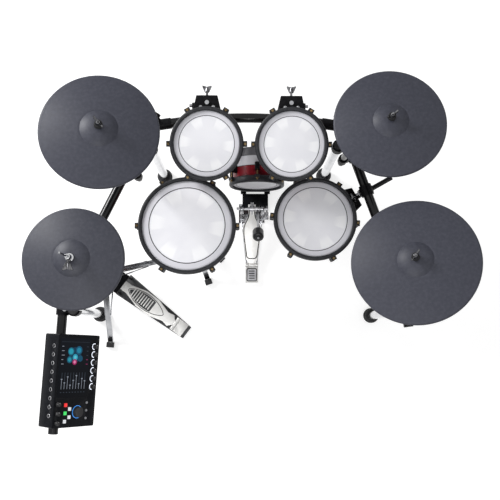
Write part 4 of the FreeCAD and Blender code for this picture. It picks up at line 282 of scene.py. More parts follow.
def cymbalLook(name, dark, light):
    s = ridgeSizes
    look = Look(name, {"Specular IOR Level": 0.4})
    x, y, _ = look.ownXyz("flat")
    radius = (x * x + y * y).math("SQRT")
    ridges = (radius * s["pitch"]).math("SINE")
    bow = look.soft(radius, *s["start"])
    grain = look.noise(s["grain"], 3)
    scuff = look.noise(s["scuff"], 6)
    look.set("Base Color", look.blend(look.soft(scuff, 0.3, 0.8), dark, light))
    look.set("Roughness", 0.45 + scuff * 0.12 + ridges * bow * 0.04)
    look.bump(ridges * bow * 0.6 + grain * 0.5, 0.2, 0.0003)
    return look.material


redLacquer, kickLacquer = lacquerLook("redLacquer", 0.3), lacquerLook("kickLacquer", 0.08, lacquerSizes["bands"])
wovenHead = headLook()
cymbalRubber = cymbalLook("cymbalRubber", (0.033, 0.035, 0.05), (0.047, 0.049, 0.067))
hihatRubber = cymbalLook("hihatRubber", (0.036, 0.038, 0.052), (0.05, 0.052, 0.068))
print("finishes ready")


# Mesh builders, in metres
class Shape:
    def __init__(self):
        self.mesh = bmesh.new()
        self.share = self.mesh.verts.layers.float.new("share")
        self.flat = self.mesh.verts.layers.float_vector.new("flat")

    def point(self, place, local, share=0.0):
        made = self.mesh.verts.new(place @ local)
        made[self.share] = share
        made[self.flat] = local
        return made

    def skin(self, rings, closed=False):
        pairs = list(zip(rings, rings[1:]))
        if closed:
            pairs.append((rings[-1], rings[0]))
        for inner, outer in pairs:
            for index in range(max(len(inner), len(outer))):
                after = index + 1
                corners = [inner[index % len(inner)], inner[after % len(inner)],
                           outer[after % len(outer)], outer[index % len(outer)]]
                face = list(dict.fromkeys(corners))
                if len(face) > 2:
                    self.mesh.faces.new(face)

    def lathe(self, profile, place, steps=96, closed=False, reach=None):
        reach = reach or max(radius for radius, height in profile)
        rings = []
        for radius, height in profile:
            count = 1 if radius < pole else steps
            rings.append([self.point(place, spun(radius, 2 * math.pi * index / steps, height), radius / reach)
                          for index in range(count)])
        self.skin(rings, closed)
        return self

    def fluted(self, profile, place, flutes, depth, steps=6):
        rings = []
        count = flutes * steps
        for radius, height, share in profile:
            ring = []
            for index in range(1 if radius < pole else count):
                cut = depth * share * (0.5 - 0.5 * math.cos(2 * math.pi * index / steps))
                ring.append(self.point(place, spun(radius - cut, 2 * math.pi * index / count, height), radius))
            rings.append(ring)
        self.skin(rings)
        return self

    def block(self, size, place, bevel=0.0):
        made = bmesh.ops.create_cube(self.mesh, size=1, matrix=place @ Matrix.Diagonal((*size, 1)))
        if bevel:
            edges = list({edge for vertex in made["verts"] for edge in vertex.link_edges})
            bmesh.ops.bevel(self.mesh, geom=edges, offset=bevel, segments=2, affect="EDGES", profile=0.5)
        return self

    def level(self, outline, height, place):
        return [self.point(place, Vector((x, y, height))) for x, y in outline]

    def plate(self, outline, low, high, place, bevel=0.0):
        rings = [self.level(outline, low, place), self.level(outline, high - bevel, place)]
        if bevel:
            rings.append(self.level(inset(outline, bevel), high, place))
        self.skin(rings)
        self.mesh.faces.new(rings[0])
        self.mesh.faces.new(rings[-1])
        return self

    def band(self, outline, near, far, low, high, place):
        outer, inner = inset(outline, near), inset(outline, far)
        self.skin([self.level(edge, height, place)
                   for edge, height in ((outer, low), (outer, high), (inner, high), (inner, low))], True)
        return self

    def data(self, name):
        bmesh.ops.recalc_face_normals(self.mesh, faces=self.mesh.faces)
        made = bpy.data.meshes.new(name)
        self.mesh.to_mesh(made)
        self.mesh.free()
        return made

    def piece(self, name, look, body, slotName, replaced=(), smooth=creaseAngle):
        return settle(name, self.data(name), look, body, replaced, smooth)


def inset(outline, distance):
    count = len(outline)
    area = sum(outline[i][0] * outline[(i + 1) % count][1] - outline[(i + 1) % count][0] * outline[i][1]
               for i in range(count))
    sign = 1 if area > 0 else -1
    made = []
    for index in range(count):
        here = Vector(outline[index])
        first = (here - Vector(outline[index - 1])).normalized()
        second = (Vector(outline[(index + 1) % count]) - here).normalized()
        normal = Vector((-first.y - second.y, first.x + second.x)).normalized() * sign
        lean = max(0.35, normal.dot(Vector((-first.y, first.x)) * sign))
        made.append(tuple(here + normal * (distance / lean)))
    return made


def rounded(outline, radius, steps=5):
    made = []
    count = len(outline)
    for index in range(count):
        here = Vector(outline[index])
        back = Vector(outline[index - 1]) - here
        ahead = Vector(outline[(index + 1) % count]) - here
        cut = min(radius, back.length * 0.45, ahead.length * 0.45)
        first, last = here + back.normalized() * cut, here + ahead.normalized() * cut
        for step in range(steps + 1):
            share = step / steps
            made.append(tuple(first * (1 - share) ** 2 + here * 2 * share * (1 - share) + last * share ** 2))
    return made


def bulge(first, last, radius, steps):
    a, b = Vector(first), Vector(last)
    middle, span = (a + b) / 2, b - a
    normal = Vector((span.y, -span.x)).normalized()
    if normal.y > 0:
        normal = -normal
    centre = middle + normal * math.sqrt(max(0, radius ** 2 - span.length_squared / 4))
    startTurn = math.atan2(a.y - centre.y, a.x - centre.x)
    sweep = math.atan2(b.y - centre.y, b.x - centre.x) - startTurn
    return [(centre.x + radius * math.cos(startTurn + sweep * step / steps),
             centre.y + radius * math.sin(startTurn + sweep * step / steps)) for step in range(steps + 1)]


def bothSides(edge):
    return [(x, -y) for x, y in edge] + [(x, y) for x, y in reversed(edge)]


def boxOutline(low, high, radius):
    return rounded([(low[0], low[1]), (high[0], low[1]), (high[0], high[1]), (low[0], high[1])], radius)


def linked(name, data):
    made = bpy.data.objects.new(name, data)
    scene.collection.objects.link(made)
    return made


def settle(name, data, look, body, replaced=(), smooth=creaseAngle):
    data.materials.clear()
    data.materials.append(look)
    data.shade_smooth()
    data.set_sharp_from_angle(angle=math.radians(smooth))
    made = linked(name, data)
    if replaced:
        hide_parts(*replaced)
    if body:
        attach(made, body)
    return made


# Solids of one CAD node, merged and told apart
def solidsOf(node):
    source = bmesh.new()
    source.from_mesh(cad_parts[node].data)
    bmesh.ops.remove_doubles(source, verts=source.verts, dist=1e-6)
    left = set(source.faces)
    found = []
    for seed in source.faces:  # in the mesh's order, so that every run gives the same faces
        if seed not in left:
            continue
        left.discard(seed)
        front, group = [seed], []
        while front:
            face = front.pop()
            group.append(face)
            for edge in face.edges:
                for other in edge.link_faces:
                    if other in left:
                        left.discard(other)
                        front.append(other)
        points = list(dict.fromkeys(vertex for face in group for vertex in face.verts))
        order = {vertex: index for index, vertex in enumerate(points)}
        spots = [vertex.co.copy() for vertex in points]
        low, high = boxOf(spots)
        found.append({"points": spots, "faces": [[order[vertex] for vertex in face.verts] for face in group],
                      "low": low, "high": high, "middle": (low + high) / 2, "size": high - low})
    source.free()
    return found


def copied(name, solids, look, body, replaced=(), bevel=0.0, smooth=creaseAngle, place=None):
    mesh = bmesh.new()
    for solid in solids:
        points = [mesh.verts.new(spot) for spot in solid["points"]]
        for face in solid["faces"]:
            mesh.faces.new([points[index] for index in face])
    bmesh.ops.dissolve_limit(mesh, angle_limit=math.radians(0.4), verts=mesh.verts, edges=mesh.edges)
    data = bpy.data.meshes.new(name)
    mesh.to_mesh(data)
    mesh.free()
    if bevel:
        data = bevelled(data, bevel)
    if place:
        back = place.inverted()
        local = data.attributes.new("flat", "FLOAT_VECTOR", "POINT")
        local.data.foreach_set("vector", [value for vertex in data.vertices for value in back @ vertex.co])
    return settle(name, data, look, body, replaced, smooth)


def evaluated(host):
    made = bpy.data.meshes.new_from_object(host.evaluated_get(bpy.context.evaluated_depsgraph_get()))
    bpy.data.objects.remove(host)
    return made


def bevelled(data, width):
    host = linked("host", data)
    modifier = host.modifiers.new("edges", "BEVEL")
    modifier.width = width
    modifier.segments = 2
    modifier.limit_method = "ANGLE"
    modifier.angle_limit = math.radians(50)
    return evaluated(host)


# Geometry trees for what repeats: a ring of items, a line of items, a coil of wire
class Grower(Graph):
    def __init__(self, name, inputs):
        tree = bpy.data.node_groups.new(name, "GeometryNodeTree")
        super().__init__(tree, "GeometryNode")
        for label, kind in inputs.items():
            tree.interface.new_socket(name=label, in_out="INPUT", socket_type="NodeSocket" + kind)
        tree.interface.new_socket(name="Mesh", in_out="OUTPUT", socket_type="NodeSocketGeometry")
        entry = tree.nodes.new("NodeGroupInput")
        self.given = {label: Wire(tree, entry.outputs[label]) for label in inputs}

    def item(self):
        return self.node("ObjectInfo", sockets={"Object": self.given["Item"]}, out="Geometry")

    def done(self, shape):
        self.close("NodeGroupOutput", "Mesh", self.node("RealizeInstances", sockets={"Geometry": shape}))
        return self.tree


def ringTree():
    grower = Grower("ringOfItems", {"Item": "Object", "Count": "Int", "Radius": "Float", "Turn": "Float"})
    given = grower.given
    circle = grower.node("MeshCircle", sockets={"Vertices": given["Count"], "Radius": given["Radius"]})
    step = grower.node("ShaderNodeMath", {"operation": "DIVIDE"}, {0: 2 * math.pi, 1: given["Count"]})
    way = grower.node("ShaderNodeCombineXYZ", sockets={"Z": grower.node("InputIndex") * step})
    ring = grower.node("InstanceOnPoints", sockets={"Points": circle, "Instance": grower.item(), "Rotation": way})
    whole = grower.node("ShaderNodeCombineXYZ", sockets={"Z": given["Turn"]})
    return grower.done(grower.node("Transform", sockets={"Geometry": ring, "Rotation": whole}))


def lineTree():
    grower = Grower("lineOfItems", {"Item": "Object", "Count": "Int", "Step": "Vector"})
    given = grower.given
    line = grower.node("MeshLine", {"mode": "OFFSET"}, {"Count": given["Count"], "Offset": given["Step"]})
    return grower.done(grower.node("InstanceOnPoints", sockets={"Points": line, "Instance": grower.item()}))


def coilTree():
    grower = Grower("coilOfWire", {"Turns": "Float", "Radius": "Float", "Height": "Float", "Wire": "Float"})
    given = grower.given
    coil = grower.node("CurveSpiral", sockets={
        "Resolution": 40, "Rotations": given["Turns"], "Start Radius": given["Radius"], "End Radius": given["Radius"],
        "Height": given["Height"]})
    section = grower.node("CurvePrimitiveCircle", sockets={"Resolution": 12, "Radius": given["Wire"]})
    return grower.done(grower.node("CurveToMesh", sockets={"Curve": coil, "Profile Curve": section, "Fill Caps": True}))


itemRing, itemLine, wireCoil = ringTree(), lineTree(), coilTree()


def grown(tree, values, place, item=None):
    host = linked("host", bpy.data.meshes.new("host"))
    given = dict(values)
    if item:
        given["Item"] = linked("item", item.data("item"))
    modifier = host.modifiers.new("shape", "NODES")
    modifier.node_group = tree
    for socket in tree.interface.items_tree:
        if socket.in_out == "INPUT":
            modifier[socket.identifier] = given[socket.name]
    bpy.context.view_layer.update()
    data = evaluated(host)
    data.transform(place)
    if item:
        bpy.data.objects.remove(given["Item"])
    return data


def rowOf(name, item, count, step, place, look, body, replaced=()):
    return settle(name, grown(itemLine, {"Count": count, "Step": step}, place, item), look, body, replaced)


print("builders ready")

# Drums: lacquered shell, lugs, rods, rubber hoop and woven head
tomWay = (0, -0.22495, 0.97437)
drums = {
    "snare": {"radius": 0.174, "depth": 0.13, "origin": (*snareSpot, 0.474)},
    "tom_left": {"radius": 0.123, "depth": 0.13, "origin": (-0.177, 0.447356, 0.602632), "zWay": tomWay},
    "tom_right": {"radius": 0.123, "depth": 0.13, "origin": (0.144, 0.445883, 0.602632), "zWay": tomWay},
    "floor_tom": {"radius": 0.1485, "depth": 0.15, "origin": (0.246, 0.158, 0.415), "xWay": (0.49242, -0.87036, 0),
                  "turn": 55.5},
    "kick": {"radius": 0.1, "depth": 0.14, "origin": (0.019, 0.478, 0.355), "zWay": (0, -1, 0), "turn": 30,
             "body": "rack"},
}
wingSizes = {"shank": 0.0045, "hub": 0.0085, "head": 0.027, "half": 0.0185, "thick": 0.0066, "upright": 0.02}
rodSizes = {"count": 6, "out": 0.0223, "foot": -0.04, "top": 0.002, "shank": 0.0029, "head": 0.0055, "key": 0.0048}
bracketBolts = ((-0.024, 0.016, 0.0045), (0.024, 0.016, 0.0045), (0, 0.034, 0.006))  # across, out, radius
sortSizes = {"wall": 0.002, "full": 0.9, "level": 0.003, "rodOut": 0.04, "lugDrop": 0.04, "lugOut": 0.034,
             "lugTall": 0.034, "bracketWide": 0.09, "wingLong": 0.075}


def sortDrum(name, place, radius, depth):
    s, back = sortSizes, place.inverted()
    groups = {kind: [] for kind in ("lacquer", "inside", "lugs", "rods", "bracket", "arm", "wing")}
    for solid in solidsOf(name + "_shell"):
        local = [back @ point for point in solid["points"]]
        out = max(math.hypot(point.x, point.y) for point in local) - radius
        low, high = boxOf(local)
        tall = high.z - low.z
        if out < s["wall"]:
            kind = "lacquer" if tall > depth * s["full"] else "inside"
        elif abs(high.z - depth - rodSizes["top"]) < s["level"] and out < s["rodOut"]:
            kind = "rods"
        elif abs(high.z - depth + s["lugDrop"]) < s["level"] and tall < s["lugTall"] and out < s["lugOut"]:
            kind = "lugs"
        elif high.x - low.x > s["bracketWide"]:
            kind = "bracket"
        else:
            kind = "wing" if solid["size"].length < s["wingLong"] else "arm"
        groups[kind].append(solid)
    return groups


def rodItem():
    s = rodSizes
    item = Shape().lathe([(0, s["foot"]), (s["shank"], s["foot"]), (s["shank"], -0.0065), (s["head"], -0.0065),
                          (s["head"], -0.004), (s["head"] - 0.001, -0.003), (0, -0.003)], Matrix(), 20)
    return item.block((s["key"], s["key"], 0.007), Matrix.Translation((0, 0, -0.0017)), 0.0006)


def wingBolt(name, place, points, body):
    s = wingSizes
    low, high = localBox(points, place)
    middle, size = (low + high) / 2, high - low
    if size.z > s["upright"]:  # it stands along the drum's axis, or else it points away from the shell
        length, base = size.z, shifted(place, middle.x, middle.y, low.z)
    else:
        length, base = size.y, shifted(place, middle.x, low.y, middle.z) @ turned(-90, "X")
    neck, hub, half = length - s["head"], s["hub"], s["half"]
    bolt = Shape().lathe([(0, 0), (s["shank"], 0), (s["shank"], neck), (hub, neck), (hub, neck + 0.0025),
                          (hub * 0.86, neck + 0.004), (hub * 0.6, length - 0.007), (0, length - 0.006)], base, 24)
    wing = [(hub, neck + 0.001), (half, length - 0.0035), (half - 0.0012, length), (half - 0.005, length - 0.0012)]
    fan = wing + [(0, length - 0.005)] + [(-x, z) for x, z in reversed(wing)]
    flat = shifted(base, 0, s["thick"] / 2, 0) @ turned(90, "X")
    bolt.plate(rounded(fan, 0.002), 0, s["thick"], flat, 0.0006).piece(name + "_wing", boltDark, body, "chrome")


for drumName, drum in drums.items():
    place = frameAt(drum["origin"], drum.get("zWay", (0, 0, 1)), drum.get("xWay", (1, 0, 0)))
    radius, depth, body = drum["radius"], drum["depth"], drum.get("body", drumName + "_unit")
    groups = sortDrum(drumName, place, radius, depth)
    print(drumName, {kind: len(found) for kind, found in groups.items()})
    copied(drumName + "_lacquer", groups["lacquer"], kickLacquer if drumName == "kick" else redLacquer, body,
           [drumName + "_shell"], place=place)
    copied(drumName + "_inside", groups["inside"], innerGrey, body)
    copied(drumName + "_lugs", groups["lugs"], clampBlack, body, bevel=0.0015)
    if groups["bracket"]:
        copied(drumName + "_bracket", groups["bracket"], clampBlack, body, bevel=0.0012)
        bracketTop = localBox(groups["bracket"][0]["points"], place)[1].z
        bolts = Shape()
        for across, out, size in bracketBolts:
            spot = shifted(place, across, radius + out, bracketTop)
            bolts.lathe([(size + 0.002, 0), (size + 0.002, 0.0008), (size, 0.001), (size, 0.0038),
                         (size - 0.0012, 0.0048), (0, 0.0046)], spot, 24)
            bolts.block((size * 1.1, 0.0016, 0.001), shifted(spot, 0, 0, 0.0049), 0.0003)
        bolts.piece(drumName + "_bolts", chrome, body, "chrome")
    if groups["arm"]:
        armLook, armSlot = (tubeBlack, "black_tube") if drumName == "floor_tom" else (chrome, "chrome")
        copied(drumName + "_arm", groups["arm"], armLook, body)
    if groups["wing"]:
        wingBolt(drumName, place, groups["wing"][0]["points"], body)
    rods = grown(itemRing, {"Count": rodSizes["count"], "Radius": radius + rodSizes["out"],
                            "Turn": math.radians(drum.get("turn", 0))}, shifted(place, 0, 0, depth), rodItem())
    settle(drumName + "_rods", rods, brass, body)
    copied(drumName + "_rim", solidsOf(drumName + "_hoop"), hoopRubber, body, [drumName + "_hoop"],
           smooth=45)
    top = depth + 0.0008
    head = [(radius * share, top) for share in (0, 0.2, 0.4, 0.55, 0.7, 0.8, 0.87, 0.9, 0.93, 0.96)]
    head += [(radius - 0.001, top), (radius + 0.0007, top - 0.0003), (radius + 0.0014, top - 0.0012),
             (radius + 0.0014, depth - 0.004), (radius + 0.007, depth - 0.0042), (radius + 0.007, depth - 0.0105),
             (radius + 0.0006, depth - 0.0108)]
    Shape().lathe(head, place, 128, reach=radius + 0.002).piece(
        drumName + "_skin", wovenHead, body, "mesh_white", [drumName + "_head"], smooth=50)
print("drums built")

# Cymbals: rubber top, plastic base, felt seat, stopper and wing nut
cymbals = {
    "crash_left": {"rim": 0.203, "centre": (-0.525, 0.383, 1.02), "normal": (0.1212, 0.1038, 0.9872),
                   "axis": (0.6503, -0.7597, 0)},
    "crash_right": {"rim": 0.203, "centre": (0.489, 0.458, 0.865), "normal": (-0.0694, 0.1043, 0.9921),
                    "axis": (0.8326, 0.5539, 0)},
    "ride": {"rim": 0.2285, "centre": (0.573, -0.041, 0.855), "normal": (-0.2217, 0.1693, 0.9603),
             "axis": (0.607, 0.7947, 0)},
    "hihat": {"rim": 0.178, "centre": (-0.625, -0.038, 0.91), "normal": (0, 0, 1), "axis": (1, 0, 0)},
}
padSizes = {"hole": 0.0055, "bellTop": 0.054, "bellEdge": 0.0635, "bellFoot": 0.036, "bellRadius": 0.095,
            "bowRadius": 0.9, "bowFoot": 0.0125, "skin": 0.004, "edge": 0.008, "plateTop": 0.0043, "plateFoot": 0.0073}
nutSizes = {"foot": 0.0788, "thick": 0.0056,
            "hub": ((0.0042, 0), (0.0095, 0), (0.0095, 0.002), (0.0082, 0.004), (0.0066, 0.011), (0.0042, 0.0118)),
            "wing": ((0.004, 0.001), (0.015, 0.004), (0.025, 0.0125), (0.0205, 0.0185), (0.0125, 0.0135),
                     (0.004, 0.0105))}
seatRings = ((0.0042, 0.0239), (0.013, 0.0239), (0.014, 0.025), (0.014, 0.0362), (0.0132, 0.0371), (0.0065, 0.0459),
             (0.0042, 0.0459))
stopperRings = ((0.0042, 0.0548), (0.0062, 0.0548), (0.0142, 0.063), (0.015, 0.0644), (0.0149, 0.066),
                (0.0132, 0.0774), (0.0124, 0.0785), (0.0042, 0.0788))


def padPieces(name, rim, place, body, look):
    s = padSizes
    hole, bellEdge, bellFoot = (s["hole"], s["bellTop"]), s["bellEdge"], s["bellFoot"]
    bowEnd = (rim - s["edge"], s["bowFoot"])
    bell = bulge(hole, (bellEdge, bellFoot), s["bellRadius"], 12)
    groove = [(bellEdge + 0.0004, bellFoot - 0.0003), (bellEdge + 0.0011, bellFoot - 0.0003)]
    bow = bulge((bellEdge + 0.0016, bellFoot - 0.0002), bowEnd, s["bowRadius"], 18)
    edge = bulge(bowEnd, (rim, 0.0045), s["edge"], 6)[1:]
    lip = [(rim, 0.004), (rim - 0.0012, 0.0012), (rim - 0.004, 0), (rim - s["edge"], 0)]
    under = [(rim - s["edge"], 0.0082), (bellEdge, bellFoot - s["skin"]), (hole[0], hole[1] - s["skin"])]
    Shape().lathe(bell + groove + bow + edge + lip + under, place, 160, True).piece(
        name + "_rubber", look, body, "rubber", [name + "_pad"], smooth=50)
    plate = bulge(hole, (bellEdge, bellFoot), s["bellRadius"], 8)
    plate += bulge((bellEdge, bellFoot), bowEnd, s["bowRadius"], 10)[1:]
    layers = [(x, z - s["plateTop"]) for x, z in plate] + [(x, z - s["plateFoot"]) for x, z in reversed(plate)]
    Shape().lathe(layers, place, 128, True).piece(name + "_plate", casePlastic, body, "case_black", smooth=50)


def wingNut(name, place, body):
    s = nutSizes
    nut = Shape().lathe([(radius, s["foot"] + height) for radius, height in s["hub"]], place, 28)
    upright = shifted(place, 0, s["thick"] / 2, s["foot"]) @ turned(90, "X")
    for sign in (-1, 1):
        nut.plate(rounded([(sign * x, z) for x, z in s["wing"]], 0.003), 0, s["thick"], upright, 0.0006)
    nut.piece(name + "_wingnut", boltDark, body, "chrome")


for name, cymbal in cymbals.items():
    place = frameAt(cymbal["centre"], cymbal["normal"], cymbal["axis"])
    if name == "hihat":
        padPieces(name, cymbal["rim"], place, "hihat_puller", hihatRubber)
        continue
    padPieces(name, cymbal["rim"], place, name + "_pad_unit", cymbalRubber)
    body = name + "_tilt_unit"
    stem = [solid for solid in solidsOf(name + "_tilter") if localBox(solid["points"], place)[0].z < 0]
    copied(name + "_stem", stem, boltDark, body, [name + "_tilter"])
    Shape().lathe(seatRings, place, 40).piece(name + "_seat", felt, body, "rubber")
    Shape().lathe(stopperRings, place, 40).piece(name + "_stopper", rubber, body, "rubber")
    wingNut(name, place, body)
print("cymbals built")

# Hi-hat rod, clutch and the oval pedal board
hihatAxis = cymbals["hihat"]["centre"][:2]
rodSolids = solidsOf("hihat_rod")
copied("hihat_pull", [solid for solid in rodSolids if solid["size"].z > 0.3], chrome, "hihat_puller",
       ["hihat_rod"])
copied("hihat_clutch", [solid for solid in rodSolids if 0.06 < solid["size"].z <= 0.3], legChrome, "hihat_puller",
       bevel=0.0008)
clutchWing = min(rodSolids, key=lambda solid: solid["size"].z)
wingBolt("hihat_clutch", frameAt((*hihatAxis, 0), (0, 0, 1), (-1, 0, 0)), clutchWing["points"], "hihat_puller")

boardTop = 0.004  # of both footboards, above their frames
hihatBoard = {"start": 0.068, "end": 0.264, "half": 0.036, "line": 0.003, "split": 0.128, "bars": 9, "barStep": 0.0122,
              "barStart": 0.141, "bar": (0.005, 0.047, 0.0026)}
boardPlace = frameAt((-0.349471, -0.245626, 0.03), (0.11115, -0.08376, 0.99027), (-0.79086, 0.59596, 0.13917))
copied("hihat_board", solidsOf("hihat_footboard"), pedalSilver, "hihat_pedal_board",
       ["hihat_footboard"], bevel=0.0012)


def leafOutline(start, end, half, first, last, steps=26):
    edge = []
    for index in range(steps + 1):
        along = first + (last - first) * index / steps
        share = min(1, max(0, (along - start) / (end - start)))
        edge.append((along, half * max(0.02, math.sin(math.pi * share)) ** 0.62))
    return bothSides(edge)


start, end, half = hihatBoard["start"], hihatBoard["end"], hihatBoard["half"]
Shape().band(leafOutline(start, end, half, start, end), 0, hihatBoard["line"], boardTop - 0.0005, boardTop + 0.0006,
             boardPlace).piece("hihat_tread_line", rubber, "hihat_pedal_board", "rubber")
darkLeaf = leafOutline(start + 0.006, end - 0.007, half - 0.0055, hihatBoard["split"], end - 0.008)
Shape().plate(darkLeaf, boardTop - 0.0005, boardTop + 0.0009, boardPlace, 0.0003).piece(
    "hihat_tread", pedalDark, "hihat_pedal_board", "rubber")
barItem = Shape().block(hihatBoard["bar"], Matrix.Translation((0, 0, 0.0012)), 0.0008)
rowOf("hihat_bars", barItem, hihatBoard["bars"], (hihatBoard["barStep"], 0, 0),
      shifted(boardPlace, hihatBoard["barStart"], 0, boardTop + 0.0005), pedalSilver, "hihat_pedal_board")
print("hi-hat built")

# Kick pedal: board with its black inlay, toe clip, chain and spring
kickBoard = {"inlayNear": 0.002, "inlayFar": 0.0066, "round": 0.02, "clip": 0.15,
             "halves": ((0.026, 0.026), (0.148, 0.042), (0.182, 0.04), (0.228, 0.017), (0.262, 0.017))}
kickPlace = frameAt((0.002, 0.026, 0.03), (0, -0.25038, 0.96815), (0, 0.96815, 0.25038))
kickSolids = solidsOf("kick_footboard")
copied("kick_board", [solid for solid in kickSolids if solid["size"].length > kickBoard["clip"]], kickSilver,
       "kick_pedal_board", ["kick_footboard"], bevel=0.0012)
copied("kick_toe_clip", [solid for solid in kickSolids if solid["size"].length <= kickBoard["clip"]], steel,
       "kick_pedal_board", bevel=0.0012)
Shape().band(rounded(bothSides(kickBoard["halves"]), kickBoard["round"]), kickBoard["inlayNear"],
             kickBoard["inlayFar"], boardTop - 0.0005, boardTop + 0.0005, kickPlace).piece(
    "kick_inlay", rubber, "kick_pedal_board", "rubber")

chainLow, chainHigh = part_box("kick_chain")
chainMiddle = (chainLow + chainHigh) / 2
chainSizes = {"pitch": 0.0127, "pairs": 3, "plate": 0.0014, "tall": 0.009, "inside": 0.0035, "play": 0.0003,
              "pin": 0.0025, "waist": 0.78, "points": 28}


def linkItem(out):
    s = chainSizes
    outline = []
    for index in range(s["points"]):
        turn = 2 * math.pi * index / s["points"]
        across = s["tall"] / 2 * math.cos(turn) * (s["waist"] if abs(math.sin(turn)) < 0.35 else 1.0)
        outline.append((across, math.copysign(s["pitch"] / 2, math.sin(turn)) + s["tall"] / 2 * math.sin(turn)))
    item = Shape()
    for foot in (out, -out - s["plate"]):
        upright = Matrix(((0, 0, 1, foot), (1, 0, 0, 0), (0, 1, 0, 0), (0, 0, 0, 1)))
        item.plate(outline, 0, s["plate"], upright, 0.0003)
    return item


def pinItem():
    pin, half = chainSizes["pin"], (chainHigh.x - chainLow.x) / 2
    rings = [(0, -half), (pin * 0.84, -half), (pin, 0.0006 - half), (pin, half - 0.0006), (pin * 0.84, half), (0, half)]
    return Shape().lathe(rings, turned(90, "Y"), 18)


pitch, pairs, innerOut = chainSizes["pitch"], chainSizes["pairs"], chainSizes["inside"]
outerOut = innerOut + chainSizes["plate"] + chainSizes["play"]
for name, item, drop, count, step in (("kick_links_inner", linkItem(innerOut), pitch / 2, pairs, 2 * pitch),
                                      ("kick_links_outer", linkItem(outerOut), pitch * 1.5, pairs, 2 * pitch),
                                      ("kick_link_pins", pinItem(), 0, 2 * pairs + 1, pitch)):
    first = Vector((chainMiddle.x, chainMiddle.y, chainHigh.z - chainSizes["tall"] / 2 - drop))
    links = rowOf(name, item, count, (0, 0, -step), Matrix.Translation(first), steel, None,
                  ["kick_chain"] if name == "kick_link_pins" else ())
    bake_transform(links)

springLow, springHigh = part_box("kick_spring")
springMiddle = (springLow + springHigh) / 2
springSizes = {"turns": 8.0, "wire": 0.0016}
wire = springSizes["wire"]
spring = grown(wireCoil, {"Turns": springSizes["turns"], "Radius": (springHigh.x - springLow.x) / 2 - wire,
                          "Height": springHigh.z - springLow.z - 2 * wire, "Wire": wire},
               Matrix.Translation((springMiddle.x, springMiddle.y, springLow.z + wire)))
springPiece = settle("kick_coil", spring, chrome, None, ["kick_spring"])
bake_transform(springPiece)
copied("kick_beater_ball", solidsOf("kick_beater"), beaterBlack, "kick_drive", ["kick_beater"], smooth=50)
print("kick pedal built")

# Stands: chrome strips and tubes, and the hi-hat's dark pedal base, black frame and silver heel
hihatOut = spun(1, math.radians(-37))
hihatSpot = Vector((*hihatAxis, 0)) + kitShift
standZones = {  # foot and top below, reach along the pedal, side within
    "base": {"foot": 0.004, "top": 1, "reach": (0.12, 1), "side": 0.03},
    "heel": {"foot": 1, "top": 0.06, "reach": (0.3, 1), "side": 0.03},
    "frame": {"foot": 1, "top": 0.15, "reach": (0.02, 0.12), "side": 0.08},
}


def standKind(solid):
    away = solid["middle"] - hihatSpot
    reach, side = away.dot(hihatOut), abs(away.cross(hihatOut).z)
    for kind, zone in standZones.items():
        near, far = zone["reach"]
        if (solid["low"].z < zone["foot"] and solid["high"].z < zone["top"] and near < reach < far
                and side < zone["side"]):
            return kind
    return "chrome"


standLooks = {"chrome": (chrome, "chrome", 0.0004), "base": (pedalDark, "pedal_metal", 0.0008),
              "frame": (clampBlack, "clamp_black", 0.001), "heel": (pedalSilver, "pedal_metal", 0.0012)}
kinds = {kind: [] for kind in standLooks}
for solid in solidsOf("tripod_stands"):
    kinds[standKind(solid)].append(solid)
print("stands", {kind: len(found) for kind, found in kinds.items()})
for kind, (look, slotName, bevel) in standLooks.items():
    copied("stand_" + kind, kinds[kind], look, "rack", ["tripod_stands"] if kind == "chrome" else (), bevel)

# Pressed webs join each leg's two strips near their upper edges
webSizes = {"pair": 0.02, "wide": 0.0172, "thick": 0.0014, "under": 0.0066, "shortest": 0.2}


def stripAxes(solid):
    corner = solid["points"][0]
    edges = sorted((point - corner for point in solid["points"][1:]), key=lambda edge: edge.length)
    thin, tall = edges[0].normalized(), edges[1].normalized()
    along = [edge for edge in edges[2:] if abs(edge.dot(thin)) + abs(edge.dot(tall)) < 1e-5][0]
    return along, tall if tall.z > 0 else -tall


strips = [solid for solid in kinds["chrome"]
          if len(solid["points"]) == 8 and solid["size"].length > webSizes["shortest"]]
webs = Shape()
for index, first in enumerate(strips):
    for second in strips[index + 1:]:
        if abs((second["middle"] - first["middle"]).length - webSizes["pair"]) < 0.0005:
            along, up = stripAxes(first)
            way = along.normalized()
            spot = Matrix((way, up.cross(way), up)).transposed().to_4x4()
            spot.translation = (first["middle"] + second["middle"]) / 2 + up * webSizes["under"]
            webs.block((along.length, webSizes["wide"], webSizes["thick"]), spot, 0.0003)
webs.piece("stand_webs", chrome, "rack", "chrome")

# Kick pedal frame with the pad, edge and ridges of its heel
pedalSolids = solidsOf("pedal_frame")
heel = min((solid for solid in pedalSolids if solid["high"].z < 0.06), key=lambda solid: solid["middle"].y)
copied("pedal_heel", [heel], pedalSilver, "rack", ["pedal_frame"], bevel=0.0012)
copied("pedal_body", [solid for solid in pedalSolids if solid is not heel], chrome, "rack",
       bevel=0.0012)
heelPad = {"half": 0.021, "front": 0.008, "back": -0.046, "top": 0.023, "thick": 0.0014, "ridges": 4, "step": 0.011,
           "ridge": (0.02604, 0.0042, 0.0022)}
padPlace = frameAt((0.002, 0, heelPad["top"]), (0, 0, 1))
padOutline = boxOutline((-heelPad["half"], heelPad["back"]), (heelPad["half"], heelPad["front"]), 0.006)
Shape().plate(padOutline, -0.0005, heelPad["thick"], padPlace, 0.0005).piece("pedal_heel_pad", steel, "rack", "steel")
Shape().band(padOutline, -0.0034, 0.0002, -0.0005, 0.0018, padPlace).piece(
    "pedal_heel_edge", rubber, "rack", "rubber")
